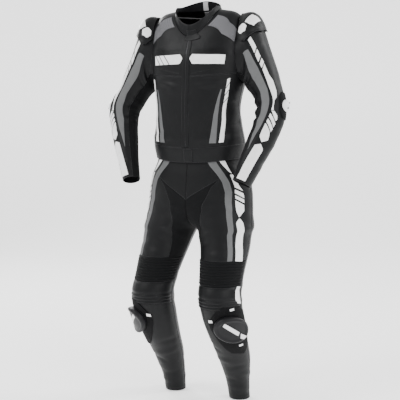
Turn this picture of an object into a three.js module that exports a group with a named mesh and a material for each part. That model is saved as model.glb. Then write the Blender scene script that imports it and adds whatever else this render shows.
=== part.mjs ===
import * as THREE from 'three';

// Driving dimensions in millimetres. Heights are measured above the trouser hems.
const ORIGIN_HEIGHT = 1345;
const WALL = 2;
const BAND_WALL = 2.5;
const SEAM = 0.45;
const LAID_GAP = 0.35;
const STRIP = 1;
const RIB_HEIGHT = 2.2;
const CUP_HEIGHT = 8;
const ELBOW_SLIDER_HEIGHT = 13;
const KNEE_SLIDER_HEIGHT = 20;
const ZIP_HALF_WIDTH = 11;

// Armhole on the torso surface: heights of its middle and half its height, and its half angle
const ARMHOLE_MIDDLE = 1268;
const ARMHOLE_HALF_HEIGHT = 104;
const ARMHOLE_HALF_ANGLE = 31;
const ARMHOLE_STEPS = 8;

const COLOURS = {
  leather: 0x303133,
  stretch: 0x1b1d1f,
  grey: 0x6e7070,
  perforated: 0x828287,
  white: 0xf0f0f0,
  plastic: 0x141516,
  mesh: 0x101112,
};

// Torso rings: height at the sides, front and back, middle, half width, reach to front and back
const TORSO_RINGS = [
  { at: 870, side: 870, front: 852, back: 870, middle: -5, wide: 161, fore: 113, aft: 113 },
  { at: 896, side: 896, front: 881, back: 896, middle: -6, wide: 163, fore: 115, aft: 115 },
  { at: 947, side: 947, front: 935, back: 947, middle: -13, wide: 169, fore: 118, aft: 118 },
  { at: 1011, side: 1011, front: 1006, back: 1011, middle: -20, wide: 160, fore: 114, aft: 115 },
  { at: 1060, side: 1060, front: 1058, back: 1060, middle: -24, wide: 154, fore: 112, aft: 114 },
  { at: 1108, side: 1108, front: 1106, back: 1108, middle: -22, wide: 158, fore: 112, aft: 118 },
  { at: 1166, side: 1166, front: 1162, back: 1166, middle: -16, wide: 170, fore: 114, aft: 124 },
  { at: 1233, side: 1233, front: 1222, back: 1233, middle: -12, wide: 178, fore: 116, aft: 128 },
  { at: 1290, side: 1290, front: 1258, back: 1292, middle: -10, wide: 178, fore: 113, aft: 124 },
  { at: 1335, side: 1340, front: 1282, back: 1340, middle: -8, wide: 172, fore: 106, aft: 112 },
  { at: 1366, side: 1384, front: 1299, back: 1384, middle: -9, wide: 160, fore: 98, aft: 98 },
  { at: 1386, side: 1408, front: 1310, back: 1408, middle: -11, wide: 136, fore: 91, aft: 84 },
  { at: 1404, side: 1418, front: 1322, back: 1424, middle: -17, wide: 84, fore: 79, aft: 66 },
];
const TORSO_SQUARENESS = 0.045;

// Collar rings
const COLLAR_RINGS = [
  { at: 0, side: 1418, front: 1322, back: 1424, middle: -17, wide: 84, fore: 79, aft: 66 },
  { at: 1, side: 1424, front: 1341, back: 1440, middle: -20, wide: 81, fore: 79, aft: 64 },
  { at: 2, side: 1430, front: 1361, back: 1456, middle: -23, wide: 80, fore: 76, aft: 64 },
];

// Sleeve rings: outer and inner point seen from the front, middle and reach front to back, lean
const SLEEVE_RINGS = [
  { at: 26, outX: 206, outZ: 1392, inX: 174.5, inZ: 1157, middle: -4, reach: 71, lean: 0 },
  { at: 54, outX: 237, outZ: 1348, inX: 179, inZ: 1147, middle: -6, reach: 70, lean: 0 },
  { at: 89, outX: 261, outZ: 1285, inX: 185, inZ: 1139, middle: -8, reach: 67, lean: 0 },
  { at: 124, outX: 283, outZ: 1231, inX: 191, inZ: 1131, middle: -12, reach: 64, lean: 3 },
  { at: 149, outX: 298, outZ: 1194, inX: 202, inZ: 1122, middle: -16, reach: 61, lean: 6 },
  { at: 173, outX: 309, outZ: 1160, inX: 213, inZ: 1108, middle: -21, reach: 59, lean: 8 },
  { at: 222, outX: 330, outZ: 1107, inX: 231, inZ: 1072, middle: -36, reach: 55, lean: 13 },
  { at: 245, outX: 337, outZ: 1077, inX: 234, inZ: 1055, middle: -47, reach: 53, lean: 15 },
  { at: 295, outX: 336, outZ: 1022, inX: 230, inZ: 1012, middle: -64, reach: 49, lean: 17 },
  { at: 361, outX: 310, outZ: 949, inX: 217, inZ: 963, middle: -86, reach: 46, lean: 19 },
  { at: 431, outX: 278, outZ: 880, inX: 203, inZ: 903, middle: -110, reach: 42, lean: 19 },
  { at: 511, outX: 244, outZ: 806, inX: 184, inZ: 825, middle: -134, reach: 37, lean: 19 },
];

// Trouser rings: height, middle across and front to back, half width and half depth
const LEG_RINGS = [
  { at: 8, x: 132, y: 54, wide: 38, deep: 40, square: 0 },
  { at: 80, x: 132, y: 36, wide: 43, deep: 47, square: 0 },
  { at: 172, x: 135, y: -4, wide: 57, deep: 63, square: 0 },
  { at: 247, x: 135, y: -52, wide: 65, deep: 73, square: 0 },
  { at: 334, x: 134, y: -100, wide: 73, deep: 79, square: 0 },
  { at: 416, x: 132, y: -126, wide: 74, deep: 82, square: 0 },
  { at: 480, x: 127, y: -101, wide: 75, deep: 84, square: 0 },
  { at: 575, x: 118, y: -52, wide: 86, deep: 98, square: 0 },
  { at: 631, x: 109, y: -28, wide: 94, deep: 110, square: 0 },
  { at: 648, x: 104, y: -22, wide: 103.8, deep: 113, square: 0 },
  { at: 700, x: 54, y: -11, wide: 147, deep: 120, square: 0.01 },
  { at: 740, x: 14, y: -5, wide: 184, deep: 125, square: 0.02 },
  { at: 780, x: 0, y: -2, wide: 194, deep: 126, square: 0.03 },
  { at: 830, x: 0, y: -2, wide: 184, deep: 122, square: 0.04 },
  { at: 893, x: 0, y: -6, wide: 158, deep: 108.5, square: 0.045 },
  { at: 938, x: 0, y: -11.5, wide: 163.4, deep: 113.4, square: 0.045 },
];

const radians = (degrees) => degrees * Math.PI / 180;
const mix = (from, to, share) => from + (to - from) * share;

// A smooth tube through rings, each ring giving a point for an angle in degrees
function makeTube(rings, pointOn) {
  const last = rings.length - 1;
  return (angle, at) => {
    let k = 0;
    while (k < last - 1 && at > rings[k + 1].at) k += 1;
    const low = rings[k];
    const high = rings[k + 1];
    const before = rings[Math.max(0, k - 1)];
    const after = rings[Math.min(last, k + 2)];
    const span = high.at - low.at;
    const t = (at - low.at) / span;
    const start = pointOn(low, angle);
    const end = pointOn(high, angle);
    const startSlope = end.clone().sub(pointOn(before, angle));
    startSlope.multiplyScalar(span / (high.at - before.at));
    const endSlope = pointOn(after, angle).sub(start);
    endSlope.multiplyScalar(span / (after.at - low.at));
    const t2 = t * t;
    const t3 = t2 * t;
    const result = start.multiplyScalar(2 * t3 - 3 * t2 + 1);
    result.addScaledVector(startSlope, t3 - 2 * t2 + t);
    result.addScaledVector(end, 3 * t2 - 2 * t3);
    result.addScaledVector(endSlope, t3 - t2);
    return result;
  };
}

// Outward direction of a surface at a point
function normalOf(surface, angle, at) {
  const across = surface(angle + 0.5, at).sub(surface(angle - 0.5, at));
  const along = surface(angle, at + 0.5).sub(surface(angle, at - 0.5));
  return across.cross(along).normalize();
}

function torsoPoint(ring, angle) {
  const sine = Math.sin(radians(angle));
  const cosine = Math.cos(radians(angle));
  const swell = 1 + TORSO_SQUARENESS * Math.sin(radians(2 * angle)) ** 2;
  const reach = cosine > 0 ? ring.fore : ring.aft;
  const rim = cosine > 0 ? ring.front : ring.back;
  return new THREE.Vector3(
    ring.wide * sine * swell,
    ring.middle - reach * cosine * swell,
    ring.side + (rim - ring.side) * cosine ** 2,
  );
}

function legPoint(ring, angle) {
  const swell = 1 + ring.square * Math.sin(radians(2 * angle)) ** 2;
  return new THREE.Vector3(
    ring.x + ring.wide * Math.sin(radians(angle)) * swell,
    ring.y - ring.deep * Math.cos(radians(angle)) * swell,
    ring.at,
  );
}

const torso = makeTube(TORSO_RINGS, torsoPoint);
const collar = makeTube(COLLAR_RINGS, torsoPoint);
const leg = makeTube(LEG_RINGS, legPoint);

// The armhole edge, drawn in a little so that the sleeve clears the torso
function armholePoint(angle) {
  const shrink = 0.995;
  const at = ARMHOLE_MIDDLE + ARMHOLE_HALF_HEIGHT * shrink * Math.cos(radians(angle));
  const around = 90 - ARMHOLE_HALF_ANGLE * shrink * Math.sin(radians(angle));
  return torso(around, at).addScaledVector(normalOf(torso, around, at), SEAM);
}

function sleevePoint(ring, angle) {
  if (ring.at === 0) return armholePoint(angle);
  const halfX = (ring.outX - ring.inX) / 2;
  const halfZ = (ring.outZ - ring.inZ) / 2;
  const cosine = Math.cos(radians(angle));
  const sine = Math.sin(radians(angle));
  const lean = radians(ring.lean);
  return new THREE.Vector3(
    ring.inX + halfX + halfX * cosine,
    ring.middle - ring.reach * Math.cos(lean) * sine,
    ring.inZ + halfZ + halfZ * cosine + ring.reach * Math.sin(lean) * sine,
  );
}

const sleeve = makeTube([{ at: 0 }, ...SLEEVE_RINGS], sleevePoint);

// A lattice is a grid of surface points, with their outward directions
function makeLattice(surface, columns, rows, place) {
  const grid = [];
  for (let i = 0; i <= columns; i += 1) {
    const line = [];
    for (let j = 0; j <= rows; j += 1) {
      const spot = place(i, j);
      const on = spot.surface ?? surface;
      line.push({
        u: spot.u,
        v: spot.v,
        point: on(spot.angle ?? spot.u, spot.at ?? spot.v),
        out: normalOf(on, spot.angle ?? spot.u, spot.at ?? spot.v),
      });
    }
    grid.push(line);
  }
  return grid;
}

function toMesh(name, colour, positions, triangles) {
  const geometry = new THREE.BufferGeometry();
  const flat = positions.flatMap((p) => [p.x, p.y, p.z - ORIGIN_HEIGHT]);
  geometry.setAttribute('position', new THREE.Float32BufferAttribute(flat, 3));
  geometry.setIndex(triangles.flat());
  geometry.computeVertexNormals();
  const material = new THREE.MeshStandardMaterial({ color: COLOURS[colour], roughness: 0.6 });
  material.name = colour;
  const mesh = new THREE.Mesh(geometry, material);
  mesh.name = name;
  return mesh;
}

// Shift of an edge point into its piece, square to the seam
function insetOf(grid, i, j, di, dj, limits) {
  const here = grid[i][j];
  const inward = grid[i + di][j + dj].point.clone().sub(here.point);
  const lowI = dj ? Math.max(limits.cols[0], i - 1) : i;
  const highI = dj ? Math.min(limits.cols[1], i + 1) : i;
  const lowJ = di ? Math.max(limits.rows[0], j - 1) : j;
  const highJ = di ? Math.min(limits.rows[1], j + 1) : j;
  const tangent = grid[highI][highJ].point.clone().sub(grid[lowI][lowJ].point).normalize();
  inward.addScaledVector(tangent, -inward.dot(tangent));
  return inward.normalize().multiplyScalar(SEAM / 2);
}

// A closed wall over part of a lattice, with seam gaps on its four edges
function wall(name, colour, grid, limits, options = {}) {
  const { thick = WALL, lift = 0, splitRows = 1, relief = null, floorX = null } = options;
  const [i0, i1] = limits.cols;
  const [j0, j1] = limits.rows;
  const base = [];
  for (let i = i0; i <= i1; i += 1) {
    const line = [];
    for (let j = j0; j <= j1; j += 1) {
      const node = grid[i][j];
      const point = node.point.clone();
      if (i === i0) point.add(insetOf(grid, i, j, 1, 0, limits));
      if (i === i1) point.add(insetOf(grid, i, j, -1, 0, limits));
      if (j === j0) point.add(insetOf(grid, i, j, 0, 1, limits));
      if (j === j1) point.add(insetOf(grid, i, j, 0, -1, limits));
      line.push({ point, out: node.out });
    }
    base.push(line);
  }
  const columns = i1 - i0;
  const rows = (j1 - j0) * splitRows;
  const positions = [];
  const keep = (point) => {
    if (floorX !== null) point.x = Math.max(point.x, floorX);
    positions.push(point);
  };
  for (const side of [0, 1]) {
    for (let i = 0; i <= columns; i += 1) {
      for (let j = 0; j <= rows; j += 1) {
        const cell = Math.min(Math.floor(j / splitRows), j1 - j0 - 1);
        const share = j / splitRows - cell;
        const point = base[i][cell].point.clone().lerp(base[i][cell + 1].point, share);
        const out = base[i][cell].out.clone().lerp(base[i][cell + 1].out, share);
        const rise = side === 0 && relief ? relief(i / columns, j, rows) : 0;
        keep(point.addScaledVector(out, lift + rise - side * thick));
      }
    }
  }
  const size = (columns + 1) * (rows + 1);
  const at = (side, i, j) => side * size + i * (rows + 1) + j;
  const triangles = [];
  const quad = (a, b, c, d) => triangles.push([a, b, c], [a, c, d]);
  for (let i = 0; i < columns; i += 1) {
    for (let j = 0; j < rows; j += 1) {
      quad(at(0, i, j), at(0, i + 1, j), at(0, i + 1, j + 1), at(0, i, j + 1));
      triangles.push([at(1, i, j), at(1, i + 1, j + 1), at(1, i + 1, j)]);
      triangles.push([at(1, i, j), at(1, i, j + 1), at(1, i + 1, j + 1)]);
    }
    quad(at(1, i, 0), at(1, i + 1, 0), at(0, i + 1, 0), at(0, i, 0));
    quad(at(0, i, rows), at(0, i + 1, rows), at(1, i + 1, rows), at(1, i, rows));
  }
  for (let j = 0; j < rows; j += 1) {
    quad(at(0, 0, j), at(0, 0, j + 1), at(1, 0, j + 1), at(1, 0, j));
    quad(at(1, columns, j), at(1, columns, j + 1), at(0, columns, j + 1), at(0, columns, j));
  }
  return toMesh(name, colour, positions, triangles);
}

// Keeps the part of a polygon that lies left of the line from a to b
function clipByLine(polygon, a, b) {
  const sideOf = (p) => (b.u - a.u) * (p.v - a.v) - (b.v - a.v) * (p.u - a.u);
  const result = [];
  polygon.forEach((current, index) => {
    const next = polygon[(index + 1) % polygon.length];
    const here = sideOf(current);
    const there = sideOf(next);
    if (here >= 0) result.push(current);
    if ((here > 0 && there < 0) || (here < 0 && there > 0)) {
      const share = here / (here - there);
      result.push({
        u: mix(current.u, next.u, share),
        v: mix(current.v, next.v, share),
        point: current.point.clone().lerp(next.point, share),
        out: current.out.clone().lerp(next.out, share),
      });
    }
  });
  return result;
}

// Splits a triangle into smaller flat ones on the same plane
function splitTriangle(triangle, count) {
  const blend = (p, q, share) => ({
    u: mix(p.u, q.u, share),
    v: mix(p.v, q.v, share),
    point: p.point.clone().lerp(q.point, share),
    out: p.out.clone().lerp(q.out, share),
  });
  let pieces = [triangle];
  for (let round = 0; round < count; round += 1) {
    pieces = pieces.flatMap(([a, b, c]) => {
      const ab = blend(a, b, 0.5);
      const bc = blend(b, c, 0.5);
      const ca = blend(c, a, 0.5);
      return [[a, ab, ca], [ab, b, bc], [ca, bc, c], [ab, bc, ca]];
    });
  }
  return pieces;
}

// A piece laid on a lattice, between rungs that each run from a left to a right spot
function laid(name, colour, grid, limits, rungs, options) {
  const { low, high, rise = null, under = null, split = 0 } = options;
  const quads = rungs.slice(1).map((next, index) => {
    const rung = rungs[index];
    return [
      { u: rung.from, v: rung.at },
      { u: rung.to, v: rung.atEnd ?? rung.at },
      { u: next.to, v: next.atEnd ?? next.at },
      { u: next.from, v: next.at },
    ];
  });
  const corners = [];
  const keys = new Map();
  const cornerOf = (spot) => {
    const key = `${spot.u.toFixed(4)} ${spot.v.toFixed(4)}`;
    if (!keys.has(key)) {
      keys.set(key, corners.length);
      corners.push(spot);
    }
    return keys.get(key);
  };
  const faces = [];
  const area = (shape) => shape.reduce((sum, p, index) => {
    const q = shape[(index + 1) % shape.length];
    return sum + p.u * q.v - q.u * p.v;
  }, 0);
  for (let i = limits.cols[0]; i < limits.cols[1]; i += 1) {
    for (let j = limits.rows[0]; j < limits.rows[1]; j += 1) {
      const a = grid[i][j];
      const b = grid[i + 1][j];
      const c = grid[i + 1][j + 1];
      const d = grid[i][j + 1];
      const small = [[a, b, c], [a, c, d]].flatMap((t) => splitTriangle(t, split));
      for (const triangle of small) {
        const ordered = area(triangle) > 0 ? triangle : [...triangle].reverse();
        for (const quad of quads) {
          const turned = area(quad) > 0 ? quad : [...quad].reverse();
          let shape = ordered;
          for (let side = 0; side < 4 && shape.length; side += 1) {
            shape = clipByLine(shape, turned[side], turned[(side + 1) % 4]);
          }
          const ids = shape.map(cornerOf).filter((id, index, all) => id !== all[(index + 1) % all.length]);
          if (ids.length > 2) faces.push(area(triangle) > 0 ? ids : ids.reverse());
        }
      }
    }
  }
  const positions = [];
  for (const spot of corners) {
    const top = high + (rise ? rise(spot.u, spot.v) : 0);
    const bottom = low + (under ? under(spot.u, spot.v) : 0);
    positions.push(spot.point.clone().addScaledVector(spot.out, top));
    positions.push(spot.point.clone().addScaledVector(spot.out, bottom));
  }
  const triangles = [];
  const edges = new Map();
  for (const ids of faces) {
    for (let k = 1; k < ids.length - 1; k += 1) {
      triangles.push([2 * ids[0], 2 * ids[k], 2 * ids[k + 1]]);
      triangles.push([2 * ids[0] + 1, 2 * ids[k + 1] + 1, 2 * ids[k] + 1]);
    }
    ids.forEach((id, index) => {
      const next = ids[(index + 1) % ids.length];
      if (edges.has(`${next} ${id}`)) edges.delete(`${next} ${id}`);
      else edges.set(`${id} ${next}`, [id, next]);
    });
  }
  for (const [start, end] of edges.values()) {
    triangles.push([2 * start, 2 * start + 1, 2 * end + 1], [2 * start, 2 * end + 1, 2 * end]);
  }
  return toMesh(name, colour, positions, triangles);
}

const STRIP_LAYER = { low: LAID_GAP, high: LAID_GAP + STRIP };

// Angle on the torso at which the surface is a given distance from the centre line
function angleAt(surface, at, distance) {
  let low = 0;
  let high = 60;
  for (let round = 0; round < 40; round += 1) {
    const middle = (low + high) / 2;
    if (surface(middle, at).x < distance) low = middle;
    else high = middle;
  }
  return (low + high) / 2;
}

// Rows of the jacket: heights at the front centre and at the side or armhole edge
const armholeRow = (index) => ARMHOLE_MIDDLE
  - ARMHOLE_HALF_HEIGHT * Math.cos(Math.PI * index / ARMHOLE_STEPS);
const JACKET_ROWS = [
  { centre: 896, edge: 896 },
  { centre: 947, edge: 947 },
  { centre: 990, edge: 990 },
  { centre: 1032, edge: 1032 },
  { centre: 1075, edge: 1075 },
  { centre: 1118, edge: 1118 },
  { centre: 1148, edge: armholeRow(0) },
  { centre: 1165, edge: armholeRow(1) },
  { centre: 1186, edge: armholeRow(2) },
  { centre: 1222, edge: armholeRow(3) },
  { centre: 1268, edge: armholeRow(4) },
  { centre: 1308, edge: armholeRow(5) },
  { centre: 1341, edge: armholeRow(6) },
  { centre: 1362, edge: armholeRow(7) },
  { centre: 1373, edge: armholeRow(8) },
  { centre: 1388, edge: 1388 },
  { centre: 1404, edge: 1404 },
];
const BAND_ROW = 1;
const ARMPIT_ROW = 6;
const CHEST_ROW = 8;
const YOKE_ROW = 10;
const TOP_ROW = 14;
const NECK_ROW = 16;
const FRONT_COLUMNS = 7;
const BACK_COLUMNS = 12;

function sideAngle(row, direction) {
  if (row >= TOP_ROW) return 90;
  if (row >= ARMPIT_ROW) {
    const share = (JACKET_ROWS[row].edge - ARMHOLE_MIDDLE) / ARMHOLE_HALF_HEIGHT;
    return 90 + direction * ARMHOLE_HALF_ANGLE * Math.sqrt(Math.max(0, 1 - share * share));
  }
  return 90 + 5 * (ARMPIT_ROW - row) / ARMPIT_ROW;
}

const frontGrid = makeLattice(torso, FRONT_COLUMNS, NECK_ROW, (i, j) => {
  const share = i / FRONT_COLUMNS;
  const row = JACKET_ROWS[j];
  const v = mix(row.centre, row.edge, share);
  return { u: mix(angleAt(torso, row.centre, ZIP_HALF_WIDTH), sideAngle(j, -1), share), v };
});
const backGrid = makeLattice(torso, BACK_COLUMNS, NECK_ROW, (i, j) => {
  const edge = sideAngle(j, 1);
  return { u: mix(edge, 360 - edge, i / BACK_COLUMNS), v: JACKET_ROWS[j].edge };
});
const zipGrid = makeLattice(torso, 2, NECK_ROW, (i, j) => {
  const at = JACKET_ROWS[j].centre;
  return { u: (i - 1) * angleAt(torso, at, ZIP_HALF_WIDTH), v: at };
});

// Angles all round a ring: from the closure at the front, round the back, to the front again
function roundAngles(row) {
  const front = frontGrid.map((line) => line[row].u);
  const back = backGrid.map((line) => line[row].u).slice(1, -1);
  return [0, ...front, ...back, ...front.map((u) => 360 - u).reverse(), 360];
}
const bandGrid = makeLattice(torso, roundAngles(0).length - 1, 1, (i, j) => ({
  u: roundAngles(j)[i],
  v: JACKET_ROWS[j].edge,
}));
const neckAngles = roundAngles(NECK_ROW);
const collarGrid = makeLattice(collar, neckAngles.length - 1, 2, (i, j) => ({ u: neckAngles[i], v: j }));

// Strip tables: station along the piece, and the angles of its two edges
const CHEST_BAND = [
  { at: 1236, atEnd: 1289, from: 5.6, to: 5.4 },
  { at: 1228, atEnd: 1265, from: 45.5, to: 46.5 },
];
const SIDE_STRIP = [
  { at: 956, from: 30, to: 48 },
  { at: 1035, from: 37, to: 56 },
  { at: 1104, from: 42.5, to: 58.5 },
  { at: 1138, from: 45, to: 57.5 },
  { at: 1175, from: 51.5, to: 56 },
];
const SHOULDER_INLAY = [
  { at: 1310, atEnd: 1346, from: 59, to: 66 },
  { at: 1355, atEnd: 1371, from: 42, to: 58 },
  { at: 1399, from: 38.5, to: 62 },
];
const SLEEVE_GREY = [
  { at: 50, atEnd: 30, from: 79, to: 97 },
  { at: 115, atEnd: 82, from: 71.5, to: 102.5 },
  { at: 150, from: 72.5, to: 102 },
  { at: 188, from: 69.5, to: 99 },
  { at: 222, from: 74, to: 105.5 },
  { at: 258, from: 79.5, to: 108.5 },
  { at: 291, from: 88, to: 117 },
  { at: 335, from: 95, to: 114 },
  { at: 400, from: 107, to: 110 },
];
const SLEEVE_WHITE = [
  { at: 50, atEnd: 44, from: 58, to: 69 },
  { at: 110, from: 50, to: 62 },
  { at: 150, from: 48.5, to: 63 },
  { at: 172, from: 39.5, to: 62 },
  { at: 203, from: 39.5, to: 61.5 },
  { at: 222, from: 45, to: 61 },
  { at: 235, from: 55, to: 61.5 },
  { at: 249, from: 59, to: 63.5 },
  { at: 262, from: 56, to: 68 },
  { at: 285, from: 41.5, to: 74 },
  { at: 306, from: 41, to: 79 },
  { at: 345, atEnd: 352, from: 44, to: 79.5 },
  { at: 358, atEnd: 369, from: 42, to: 62 },
];
const FOREARM_WHITE = [
  { at: 375, atEnd: 383, from: 61.5, to: 82.5 },
  { at: 390, atEnd: 404, from: 41, to: 86 },
  { at: 503, from: 50, to: 104 },
];
const ELBOW_BASE = [
  { at: 206, from: -18, to: 18 },
  { at: 222, from: -34, to: 34 },
  { at: 264, from: -34, to: 34 },
  { at: 284, from: -16, to: 16 },
];
const ELBOW_SLIDER = [
  { at: 225, from: -9, to: 9 },
  { at: 232, from: -19, to: 19 },
  { at: 245, from: -23, to: 23 },
  { at: 258, from: -19, to: 19 },
  { at: 265, from: -9, to: 9 },
];
const SHOULDER_CUP = [
  { at: 5, from: -46, to: 60 },
  { at: 18, from: -64, to: 76 },
  { at: 30, from: -62, to: 76 },
  { at: 42, from: -48, to: 57 },
  { at: 60, from: -18, to: 20 },
];
const CUP_INSERT = [
  { at: 9, from: 48, to: 56 },
  { at: 17, from: 45, to: 65 },
  { at: 27, from: 51, to: 61 },
];
const THIGH_GREY = [
  { at: 549, from: 33, to: 45 },
  { at: 636, from: 29.5, to: 40.5 },
  { at: 720, from: 40.5, to: 49 },
  { at: 781, from: 43, to: 52 },
  { at: 815, from: 40.5, to: 49.5 },
  { at: 843, from: 35.5, to: 45 },
  { at: 884, from: 27.5, to: 38.5 },
];
const THIGH_WHITE = [
  { at: 552, from: 52, to: 73 },
  { at: 600, from: 49, to: 67 },
  { at: 675, from: 50, to: 64 },
  { at: 691, from: 57, to: 61 },
  { at: 715, from: 54.5, to: 68 },
  { at: 784, from: 56, to: 69.5 },
  { at: 800, from: 56, to: 63 },
  { at: 821, from: 54, to: 60 },
  { at: 845, from: 51.5, to: 55.5 },
  { at: 884, from: 43, to: 50 },
];
const KNEE_WHITE = [
  { at: 416, from: 73, to: 86 },
  { at: 430, from: 68, to: 85 },
  { at: 456, from: 70, to: 83 },
];
const SLIDER_BASE = [
  { at: 214, from: 26, to: 62 },
  { at: 232, from: 6, to: 82 },
  { at: 290, from: -20, to: 86 },
  { at: 330, from: -26, to: 84 },
  { at: 372, from: -8, to: 66 },
];
const KNEE_SLIDER = [
  { at: 260, from: 36, to: 58 },
  { at: 272, from: 18, to: 72 },
  { at: 298, from: 4, to: 78 },
  { at: 324, from: 4, to: 72 },
  { at: 346, from: 12, to: 56 },
  { at: 356, from: 22, to: 42 },
];

// Oval mounds: middle angle and station, half angle and half length, height
const CUP_MOUND = { u: 5, v: 31, halfU: 92, halfV: 44, height: CUP_HEIGHT };
const KNEE_MOUND = { u: 40, v: 308, halfU: 62, halfV: 72, height: KNEE_SLIDER_HEIGHT };
const ELBOW_MOUND = { u: 0, v: 245, halfU: 30, halfV: 27, height: ELBOW_SLIDER_HEIGHT };
const riseOf = (oval) => (u, v) => {
  const share = ((u - oval.u) / oval.halfU) ** 2 + ((v - oval.v) / oval.halfV) ** 2;
  return oval.height * Math.sqrt(Math.max(0, 1 - share));
};
const cupRise = riseOf(CUP_MOUND);

// Sleeve lattice
const SLEEVE_ROWS = [0, 14, 32, 54, 84, 118, 152, 188, 220, 250, 288, 335, 390, 450, 511];
const SLEEVE_COLUMNS = 16;
const sleeveGrid = makeLattice(sleeve, SLEEVE_COLUMNS, SLEEVE_ROWS.length - 1, (i, j) => ({
  u: -112.5 + 22.5 * i,
  v: SLEEVE_ROWS[j],
}));

// Trouser rows: heights at the front middle, front seam, side and back middle, and the seam angle
const LEG_ROWS = [
  { front: 8, seam: 8, side: 8, rear: 8, turn: -34 },
  { front: 90, seam: 90, side: 90, rear: 90, turn: -34 },
  { front: 165, seam: 165, side: 165, rear: 165, turn: -34 },
  { front: 232, seam: 232, side: 232, rear: 232, turn: -34 },
  { front: 292, seam: 292, side: 292, rear: 292, turn: -34 },
  { front: 342, seam: 342, side: 342, rear: 342, turn: -34 },
  { front: 382, seam: 382, side: 382, rear: 382, turn: -34 },
  { front: 413, seam: 413, side: 413, rear: 413, turn: -36 },
  { front: 461, seam: 461, side: 461, rear: 461, turn: -40 },
  { front: 502, seam: 502, side: 502, rear: 502, turn: -42 },
  { front: 544, seam: 544, side: 544, rear: 544, turn: -44 },
  { front: 585, seam: 588, side: 592, rear: 585, turn: -42 },
  { front: 622, seam: 630, side: 640, rear: 622, turn: -34 },
  { front: 648, seam: 662, side: 676, rear: 648, turn: -20 },
  { front: 659, seam: 688, side: 706, rear: 660, turn: -5 },
  { front: 676, seam: 715, side: 735, rear: 678, turn: 8 },
  { front: 702, seam: 756, side: 780, rear: 705, turn: 20 },
  { front: 726, seam: 798, side: 815, rear: 745, turn: 28 },
  { front: 750, seam: 824, side: 838, rear: 800, turn: 36 },
  { front: 830, seam: 860, side: 866, rear: 850, turn: 36 },
  { front: 893, seam: 896, side: 896, rear: 896, turn: 36 },
  { front: 938, seam: 938, side: 938, rear: 938, turn: 36 },
];
const KNEE_RIB_ROW = 6;
const KNEE_HIGH_ROW = 8;
const ACCORDION_ROW = 10;
const V_ROW = 18;
const WAIST_ROW = 21;
const LEG_FRONT_COLUMNS = 8;
const SEAM_COLUMN = 3;
const MIDDLE_GAP = 0.2;

// Angle at which the leg meets the middle plane, between two limits, or the outer limit
function middleAngle(at, outer, inner) {
  if (leg(inner, at).x > MIDDLE_GAP && leg(outer, at).x > MIDDLE_GAP) return outer;
  let low = outer;
  let high = inner;
  for (let round = 0; round < 40; round += 1) {
    const middle = (low + high) / 2;
    if (leg(middle, at).x > MIDDLE_GAP) high = middle;
    else low = middle;
  }
  return high;
}

const legFrontGrid = makeLattice(leg, LEG_FRONT_COLUMNS, WAIST_ROW, (i, j) => {
  const row = LEG_ROWS[j];
  if (i <= SEAM_COLUMN) {
    const share = i / SEAM_COLUMN;
    const start = middleAngle(row.front, -90, 5);
    return { u: mix(start, row.turn, share), v: mix(row.front, row.seam, share) };
  }
  const share = (i - SEAM_COLUMN) / (LEG_FRONT_COLUMNS - SEAM_COLUMN);
  return { u: mix(row.turn, 90, share), v: mix(row.seam, row.side, share) };
});
const legBackGrid = makeLattice(leg, 8, WAIST_ROW, (i, j) => {
  const row = LEG_ROWS[j];
  const end = middleAngle(row.rear, 270, 175);
  return { u: mix(90, end, i / 8), v: mix(row.side, row.rear, i / 8) };
});

// Ribs across a panel, flat at its two edges
function ribs(share, row, rows) {
  if (share === 0 || share === 1 || row === 0 || row === rows) return 0;
  return row % 2 ? RIB_HEIGHT : 0;
}

const ACROSS_FRONT = [0, LEG_FRONT_COLUMNS];
const LEG_LIMITS = { cols: ACROSS_FRONT, rows: [0, WAIST_ROW] };
const SLEEVE_LIMITS = { cols: [0, 11], rows: [0, SLEEVE_ROWS.length - 1] };
const FRONT_LIMITS = { cols: [0, FRONT_COLUMNS], rows: [BAND_ROW, NECK_ROW] };
const keepRight = { floorX: MIDDLE_GAP };
const kneeRibs = (share, row) => {
  const ribRows = 6;
  if (share === 0 || share === 1 || row === 0 || row >= ribRows) return 0;
  return row % 2 ? RIB_HEIGHT : 0;
};
const BASE_TOP = LAID_GAP + 3;
const SLIDER_RIM = 4.5;
const CUP_TOP = LAID_GAP + 2;

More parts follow.
